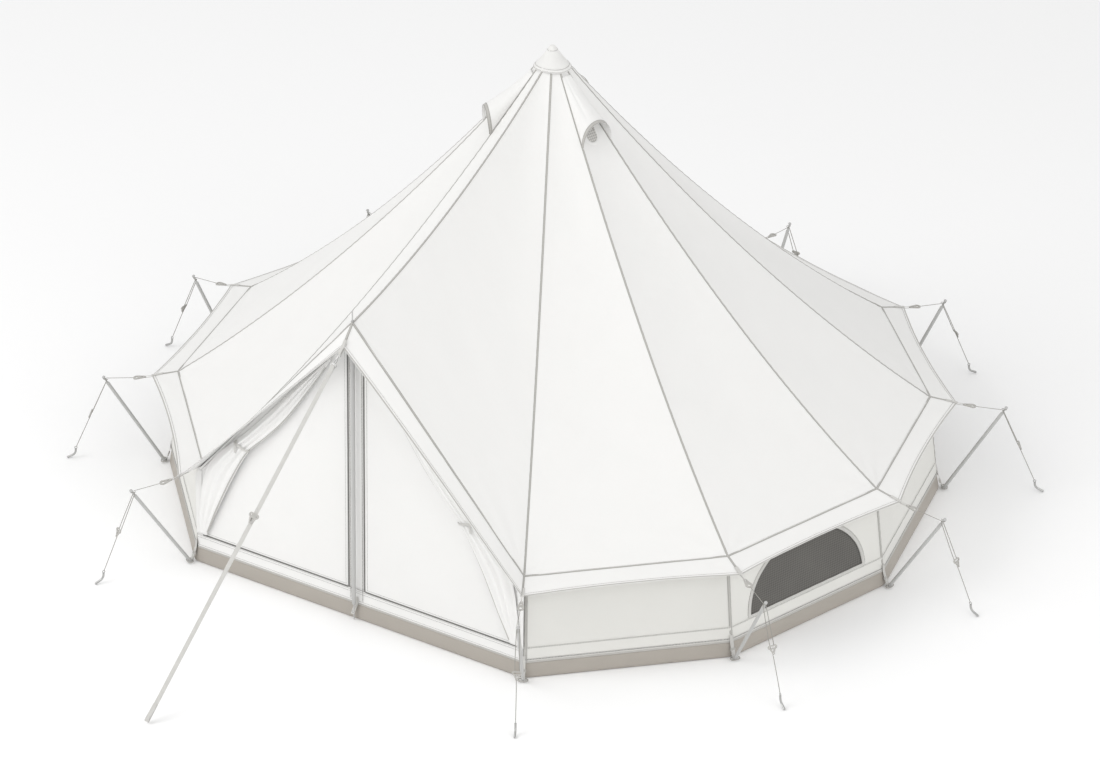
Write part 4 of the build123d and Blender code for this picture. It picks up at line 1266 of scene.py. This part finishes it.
def windows():
    for index in WINDOW_SIDES:
        flat, curve = half_moon(WINDOW_HALF_WIDTH + NET_MARGIN, WINDOW_HEIGHT + NET_MARGIN,
                                WINDOW_SILL - NET_MARGIN, 30, 90)
        outline = np.concatenate([flat[:-1], curve])
        centre = np.array([0, WINDOW_SILL + 0.15])
        places = centre + (outline - centre)[None] * np.linspace(0, 1, 14)[:, None, None]
        net = patch(wall, *on_side(index, places), (places[..., 0], places[..., 1]), -0.003)
        net = cut_cloth(f"window_mesh_{index:02d}", [net], "window_meshes", material=SCREEN, slot="mesh",
                        thickness=0.001)

        _, curve = half_moon(WINDOW_HALF_WIDTH + 0.010, WINDOW_HEIGHT + 0.010, WINDOW_SILL, 30, 90)
        flat, _ = half_moon(WINDOW_HALF_WIDTH + 0.02, 1, WINDOW_SILL - 0.004, 40, 96)
        arch = on_side(index, curve)
        edges = [tape(wall, *arch, 0.024, 0.0012, ROUND_TAPE),
                 tape(wall, *on_side(index, flat), 0.014, 0.0024)]
        piping = taped(f"window_piping_{index:02d}", edges, WEBBING, slot="webbing",
                       nodes=["window_bindings"])
        sewing = sewn(f"window_stitching_{index:02d}", wall, both_sides(wall, arch, 0.014), 0.001)
        declare(net, (0.97, 0.42), "stretched", ["wall_cloth"], [piping, sewing])


def groundsheet():
    """Floor and tub in one: out along the ground, round the turn and up the side."""
    profile = tub_profile()
    down = metres_along(np.column_stack([profile, np.zeros(len(profile))]))
    radius, height = profile[:, 0][:, None], profile[:, 1][:, None]
    standing = np.clip((height - 0.012) / 0.02, 0, 1)
    rounded = np.sin(pi * np.clip(height / TUB_HEIGHT, 0, 1))
    parts = []
    starts = [(index, index + 1) for index in range(1, 11)] + [(11, 13)]
    perimeter = 0.0
    for begin, end in starts:
        shares = eased(81 if end - begin == 2 else 41, 0.8)
        side = 2 * BASE_RADIUS * sin((end - begin) * CORNER_ANGLE / 2)
        near = np.minimum(shares, 1 - shares) * side
        grid = mix(corner(begin, radius, height), corner(end, radius, height), shares[None, :])
        middle = np.clip(near / 0.12, 0, 1) * standing * rounded
        swell = 1 - 0.0022 * np.exp(-near / 0.018)[None] * (radius > 2.3)
        bulge = middle * (0.0028 + 0.0022 * undulate(4 * shares * side + begin, 0, 31)[None]) / BASE_RADIUS
        grid[..., :2] *= (swell + bulge)[..., None]
        parts.append((grid, together(perimeter + shares[None] * side, down[:, None])))
        perimeter += side
    cloth = cut_cloth("groundsheet_cloth", parts, "groundsheet_floor", "groundsheet_tub", material=GROUND,
                      slot="groundsheet", thickness=0.0009, flip=True)
    declare(cloth, (5.2, 5.2), "laid", ["floor"])


# --- door -----------------------------------------------------------------------------------
LEAF_BOTTOM = 0.203
LEAF_SIDE = 1.19
DOOR_SIDE = 1.232
LEAF_INNER = 0.063
HINGE_DROP = 0.020


def under_slope(xs, rows, bottom, drop=HINGE_DROP):
    """Door parameters of a panel from its bottom up to the roof's slope."""
    share = np.linspace(0, 1, rows)[:, None]
    top = slope_height(xs)[None] - drop
    return np.broadcast_arrays(xs[None], bottom + share * (top - bottom))


def door_leaves():
    for name, sign in SIDES:
        body = f"door_{name}"
        xs = np.sort(sign * np.linspace(LEAF_INNER, LEAF_SIDE, 60))
        panel = patch(door, *under_slope(xs, 70, LEAF_BOTTOM))
        leaf = cut_cloth(f"{body}_cloth", [panel], f"door_leaf_{name}", body=body)
        edge = np.linspace(LEAF_BOTTOM + 0.01, slope_height(LEAF_INNER) - 0.05, 90)
        across = np.sort(sign * np.linspace(LEAF_INNER + 0.01, LEAF_SIDE - 0.01, 60))
        hems = [tape(door, *upright(sign * (LEAF_INNER + 0.012), edge), 0.020),
                tape(door, *level(across, LEAF_BOTTOM + 0.010), 0.016)]
        hem = taped(f"{body}_hem", hems, CANVAS, body)
        rows = [upright(sign * (LEAF_INNER + 0.018), edge), level(across, LEAF_BOTTOM + 0.015)]
        sewing = sewn(f"{body}_stitching", door, rows, 0.0016, body)
        declare(leaf, (1.14, 1.78), "hung", ["roof_cloth"], [hem, sewing])


def door_strip():
    """The strip in front of the door pole, with the zips of both leaves."""
    across = np.linspace(-STRIP_HALF_WIDTH, STRIP_HALF_WIDTH, 13)
    panel = patch(door, *under_slope(across, 80, LEAF_BOTTOM))
    strip = cut_cloth("door_strip_cloth", [panel], "door_strip")
    edge = np.linspace(0.125, slope_height(0.05) - 0.03, 120)
    rows = [upright(place, edge) for place in (-0.047, -0.043, 0.043, 0.047)]
    sewing = sewn("strip_stitching", door, rows, 0.0022)
    high = np.linspace(0.2, slope_height(STRIP_HALF_WIDTH) - 0.03, 120)
    teeth = []
    for _, sign in SIDES:
        teeth += [upright(sign * 0.0595, high), level(np.linspace(sign * 0.064, sign * 1.19, 90), 0.2015)]
    tapes = [tape(door, *line, 0.014, 0.0006) for line in teeth]
    zips = taped("door_zip_tape", tapes, ZIP_TAPE, slot="webbing")
    coils = sewn("door_zip_teeth", door, teeth, 0.0018, slot="plastic", material=COIL, pitch=0.0062,
                 long=0.0046, wide=0.0066, high=0.0018)
    declare(strip, (0.12, 1.83), "stretched", ["roof_cloth"], [sewing, zips, coils])


def door_sill():
    x, z = np.meshgrid(np.linspace(-DOOR_SIDE, DOOR_SIDE, 120), np.linspace(WALL_BOTTOM, SILL_TOP, 9))
    sill = cut_cloth("door_sill_cloth", [patch(door, x, z)], "door_sill")
    us = np.linspace(-1.23, 1.23, 200)
    bands = [tape(door, *level(us, place), width, HEM_LIFT)
             for place, width in ((0.183, 0.022), (0.1175, 0.014))]
    band = taped("sill_band", bands, CANVAS)
    rim = lone_tape("sill_rim", door, level(us, RIM_HEIGHT), RIM_WIDTH, 0.0010, ROUND_TAPE, slot="webbing")
    sewing = sewn("sill_stitching", door, [level(us, place) for place in (0.176, 0.19, 0.122)], 0.0018)
    declare(sill, (2.47, 0.10), "stretched", ["groundsheet_cloth"], [band, rim, sewing])


def door_frame():
    """The narrow edge of canvas that the leaves are sewn to: under the slope and down each side."""
    parts = []
    for _, sign in SIDES:
        xs = np.sort(sign * np.linspace(0, DOOR_SIDE, 90))
        z = slope_height(xs)[None] - HINGE_DROP * np.linspace(1.35, 0.05, 5)[:, None]
        parts.append(patch(door, np.broadcast_to(xs[None], z.shape), z))
        jamb = np.sort(sign * np.linspace(LEAF_SIDE - 0.004, DOOR_SIDE + 0.004, 7))
        x, z = np.meshgrid(jamb, np.linspace(SILL_TOP - 0.002, 0.66, 30))
        parts.append(patch(door, x, np.minimum(z, slope_height(x) - 0.002), lift=0.0018))
    declare(cut_cloth("door_frame_cloth", parts), (3.9, 0.05), "stretched", ["roof_cloth"])


CURTAIN_FREE_EDGE = ((0.17, 1.74), (0.33, 1.49), (0.50, 1.24), (0.66, 1.06), (0.775, 0.955), (0.83, 0.88),
                     (0.94, 0.67), (1.05, 0.44), (1.15, 0.215))
CURTAIN_SEWN_EDGE = ((0.17, 1.76), (0.40, 1.52), (0.60, 1.29), (0.76, 1.11), (0.865, 1.0), (0.93, 0.94),
                     (1.05, 0.83), (1.19, 0.64), (1.215, 0.215))
CURTAIN_TIE = (0.79, 0.94)


def curtain_surface(sign):
    """A gathered curtain: u goes from its free edge to its sewn edge and v from top to bottom."""
    rest = np.linspace(0, 1, 200)
    edges = []
    for route in (CURTAIN_FREE_EDGE, CURTAIN_SEWN_EDGE):
        line, _ = smooth_line([(x, 0, z) for x, z in route], 0.01)
        shares = np.linspace(0, 1, len(line))
        edges.append(np.stack([np.interp(rest, shares, line[:, k]) for k in (0, 2)]))
    tie = float(rest[np.argmin(np.hypot(edges[0][0] - CURTAIN_TIE[0], edges[0][1] - CURTAIN_TIE[1]))])

    def base(u, v):
        v = np.clip(v, 0, 1)
        places = [[np.interp(v, rest, line[k]) for k in (0, 1)] for line in edges]
        x = places[0][0] * (1 - u) + places[1][0] * u
        z = places[0][1] * (1 - u) + places[1][1] * u
        gather = np.exp(-((v - tie) / 0.16) ** 2)
        ends = np.clip(v / 0.1, 0, 1) * np.clip((1 - v) / 0.12, 0, 1)
        fold = 0.5 + 0.5 * np.sin(2 * pi * 3.25 * u - 1.2 + 0.7 * v)
        bundle = np.sqrt(np.clip(1 - (2 * u - 1) ** 2, 0, 1))
        out = 0.016 + ends * (0.006 + 0.012 * bundle * (0.4 + gather) + fold * (0.008 + 0.006 * gather))
        out = out * (1 - 0.6 * np.clip((u - 0.85) / 0.15, 0, 1))
        return door_base(sign * x, z) + together(0, -out, 0)

    def slack(u, v):
        return 0.0015 * undulate(7 * u, 9 * v, 40)

    return displaced(base, slack, -sign), tie


def door_curtains():
    for name, sign in SIDES:
        surface, tie = curtain_surface(sign)
        u, v = np.meshgrid(np.linspace(0, 1, 70), np.linspace(0, 1, 140))
        panel = patch(surface, u, v, (u * 0.3, v * CURTAIN_LENGTH))
        curtain = cut_cloth(f"curtain_{name}", [panel], f"door_curtain_{name}", flip=sign < 0)
        edge = upright(0.045, np.linspace(0.04, 0.985, 160))
        hem = lone_tape(f"curtain_{name}_hem", surface, edge, 0.010, 0.0018)
        centre = Vector(surface(0.5, tie).tolist())
        run = Vector((surface(0.5, tie + 0.02) - surface(0.5, tie - 0.02)).tolist()).normalized()
        across = Vector((surface(1.0, tie) - surface(0.0, tie)).tolist())
        half = across.length / 2 + 0.004
        across.normalize()
        out = across.cross(run) * (1 if across.cross(run).y < 0 else -1)
        middle = centre - out * 0.014
        loop = [middle + across * half * cos(angle) + out * (0.026 if sin(angle) > 0 else 0.012) * sin(angle)
                for angle in np.linspace(0, 2 * pi, 25)]
        line, _ = smooth_line(loop, 0.004)
        band = fit(flat_strap(f"tie_{name}", line, run, 0.020, 0.0022), "tent", "webbing", "curtain_ties")
        start = Vector(line[int(len(line) * 0.12)]) + out * 0.003
        hang = [start + Vector((0, forward, up)) for forward, up in
                ((0, 0), (-0.008, -0.004), (-0.010, -0.03), (-0.006, -0.062))]
        tab = fit(strap_along(f"tie_tab_{name}", hang, ALONG_X, 0.014, 0.002, 0.004), "tent", "webbing")
        declare(curtain, (0.40, CURTAIN_LENGTH), "gathered", ["roof_cloth"], [hem, band, tab])


# --- fittings -------------------------------------------------------------------------------
def spun(name, build, slot, *nodes, poles=POLES):
    """The same small piece at every pole: built once on the +X ray, copied and joined."""
    first = build()
    joined = bmesh.new()
    for index in poles:
        part = first.data.copy()
        part.transform(turned(index))
        joined.from_mesh(part)
        bpy.data.meshes.remove(part)
    material = first.data.materials[0]
    bpy.data.objects.remove(first)
    mesh = bpy.data.meshes.new(name)
    joined.to_mesh(mesh)
    joined.free()
    mesh.shade_smooth()
    return fit(link(name, mesh, material), "tent", slot, *nodes)


def eave_loop():
    """Narrow tape from the hem's corner, through the toggle's slot and back."""
    route = [(-0.045, 0.008), (-0.020, 0.004), (0.006, 0.0022), (0.034, 0.0018), (0.056, 0.0012),
             (0.0595, -0.0035), (0.056, -0.0082), (0.034, -0.0088), (0.006, -0.0082), (-0.018, -0.0055),
             (-0.03, -0.001)]
    return strap_along("loop", [eave_place(*place) for place in route], ACROSS, 0.0064, 0.0016)


def eave_patch():
    """A webbing patch that spreads the loop's pull into the hem."""
    route = [Vector((HEM_RADIUS - out, 0, HEM_HEIGHT + 0.229 * out + 0.0042)) for out in
             (-0.004, 0.02, 0.045, 0.07)]
    return strap_along("patch", route, ACROSS, 0.025, 0.002, 0.006)


def foot_strap():
    """From the wall's foot down over the tub, round the pole's ring and back up to the buckle."""
    route = [(2.4795, 0.150), (2.4825, 0.128), (2.4855, 0.101), (2.4985, 0.060), (2.5085, 0.026),
             (2.5115, 0.0055), (2.5185, 0.0050), (2.5195, 0.0165), (2.5135, 0.0235), (2.5070, 0.042),
             (2.5035, 0.055)]
    return strap_along("strap", [Vector((x, 0, z)) for x, z in route], ACROSS, 0.025, 0.0018)


def front_webbing():
    """The loop at the hem's apex that holds the hook, and the strap's turn through the hook's bar."""
    face = FRONT_ACROSS.cross(-FRONT_DOWN)
    loop = [(-0.050, 0.012), (-0.015, 0.006), (0.012, 0.0055), (0.040, 0.0048), (0.0515, 0.0),
            (0.040, -0.0048), (0.012, -0.0055), (-0.015, -0.008), (-0.03, -0.006)]
    turn = [(0.19, 0.0028), (0.16, 0.0030), (0.137, 0.0042), (0.120, 0.0062), (0.1165, 0.001),
            (0.120, -0.0052), (0.132, -0.0036), (0.142, -0.0004)]
    for name, route, width, thickness, nodes in (("front_loop_webbing", loop, 0.024, 0.0018, ["front_loop"]),
                                                 ("front_guy_turn", turn, STRAP_WIDTH, 0.0022, [])):
        route = [FRONT_START + FRONT_DOWN * down + face * out for down, out in route]
        fit(strap_along(name, route, FRONT_ACROSS, width, thickness), "tent", "webbing", *nodes)


def eyelet(name, centre, axis, radius, wire):
    """A metal eyelet: a ring of round wire."""
    turn = np.linspace(0, 2 * pi, 33)
    axis = np.array(Vector(axis).normalized())
    side = unit(np.cross(axis, (0.41, 0.52, 0.75)))
    up = np.cross(axis, side)
    rings = []
    for angle in turn:
        out = side * cos(angle) + up * sin(angle)
        rings.append([np.array(centre) + out * (radius + wire * cos(a)) + axis * wire * 0.6 * sin(a)
                      for a in np.linspace(0, 2 * pi, 13)])
    grid = np.array(rings)
    cut = np.zeros((*grid.shape[:2], 2))
    return fit(join_parts(name, [(grid, cut)], STEEL, thickness=0), "tent", "hardware")


def door_pole_fittings():
    """The webbing tab under the door pole's foot, its eyelet, and the eyelet in the ridge."""
    route = [(0, -2.1475, 0.150), (0, -2.1495, 0.118), (0, -2.1560, 0.098), (0, -2.1830, 0.068),
             (0, -2.1945, 0.050)]
    tab = strap_along("pole_tab", [Vector(place) for place in route], ALONG_X, 0.026, 0.0022, 0.004)
    fit(tab, "tent", "webbing", "door_pole_tab")
    eyelet("tab_eyelet", (0, -2.1865, 0.0655), (0, -0.74, 0.67), 0.0075, 0.0022)
    eyelet("ridge_eyelet", (0, -2.1285, 2.054), (0, -0.23, 1), 0.0085, 0.003)


def carried_over():
    """CAD nodes that stay, each with its finish."""
    finishes = ((POLE, ("side_pole", "centre_pole", "door_pole")),
                (PLASTIC, ("guy_slider", "eave_toggles", "foot_buckles", "foot_rings", "front_buckle")),
                (STEEL, ("guy_pegs", "peak_ring", "front_hook")))
    for name, node in frame["nodes"].items():
        for finish, starts in finishes:
            if name.startswith(starts):
                node.data.materials.clear()
                node.data.materials.append(finish)


roof_cloth()
vents()
eave_flap()
vent_hoods()
peak_cap()
walls()
windows()
groundsheet()
door_leaves()
door_strip()
door_sill()
door_frame()
door_curtains()
spun("eave_webbing", eave_loop, "webbing", "eave_loops")
spun("eave_patches", eave_patch, "webbing")
spun("foot_webbing", foot_strap, "webbing", "foot_straps")
front_webbing()
door_pole_fittings()
carried_over()

visual_box = [list(point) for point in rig.bounds()]
json.dump({"cad": cad_box, "visual": visual_box}, open("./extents.json", "w"))
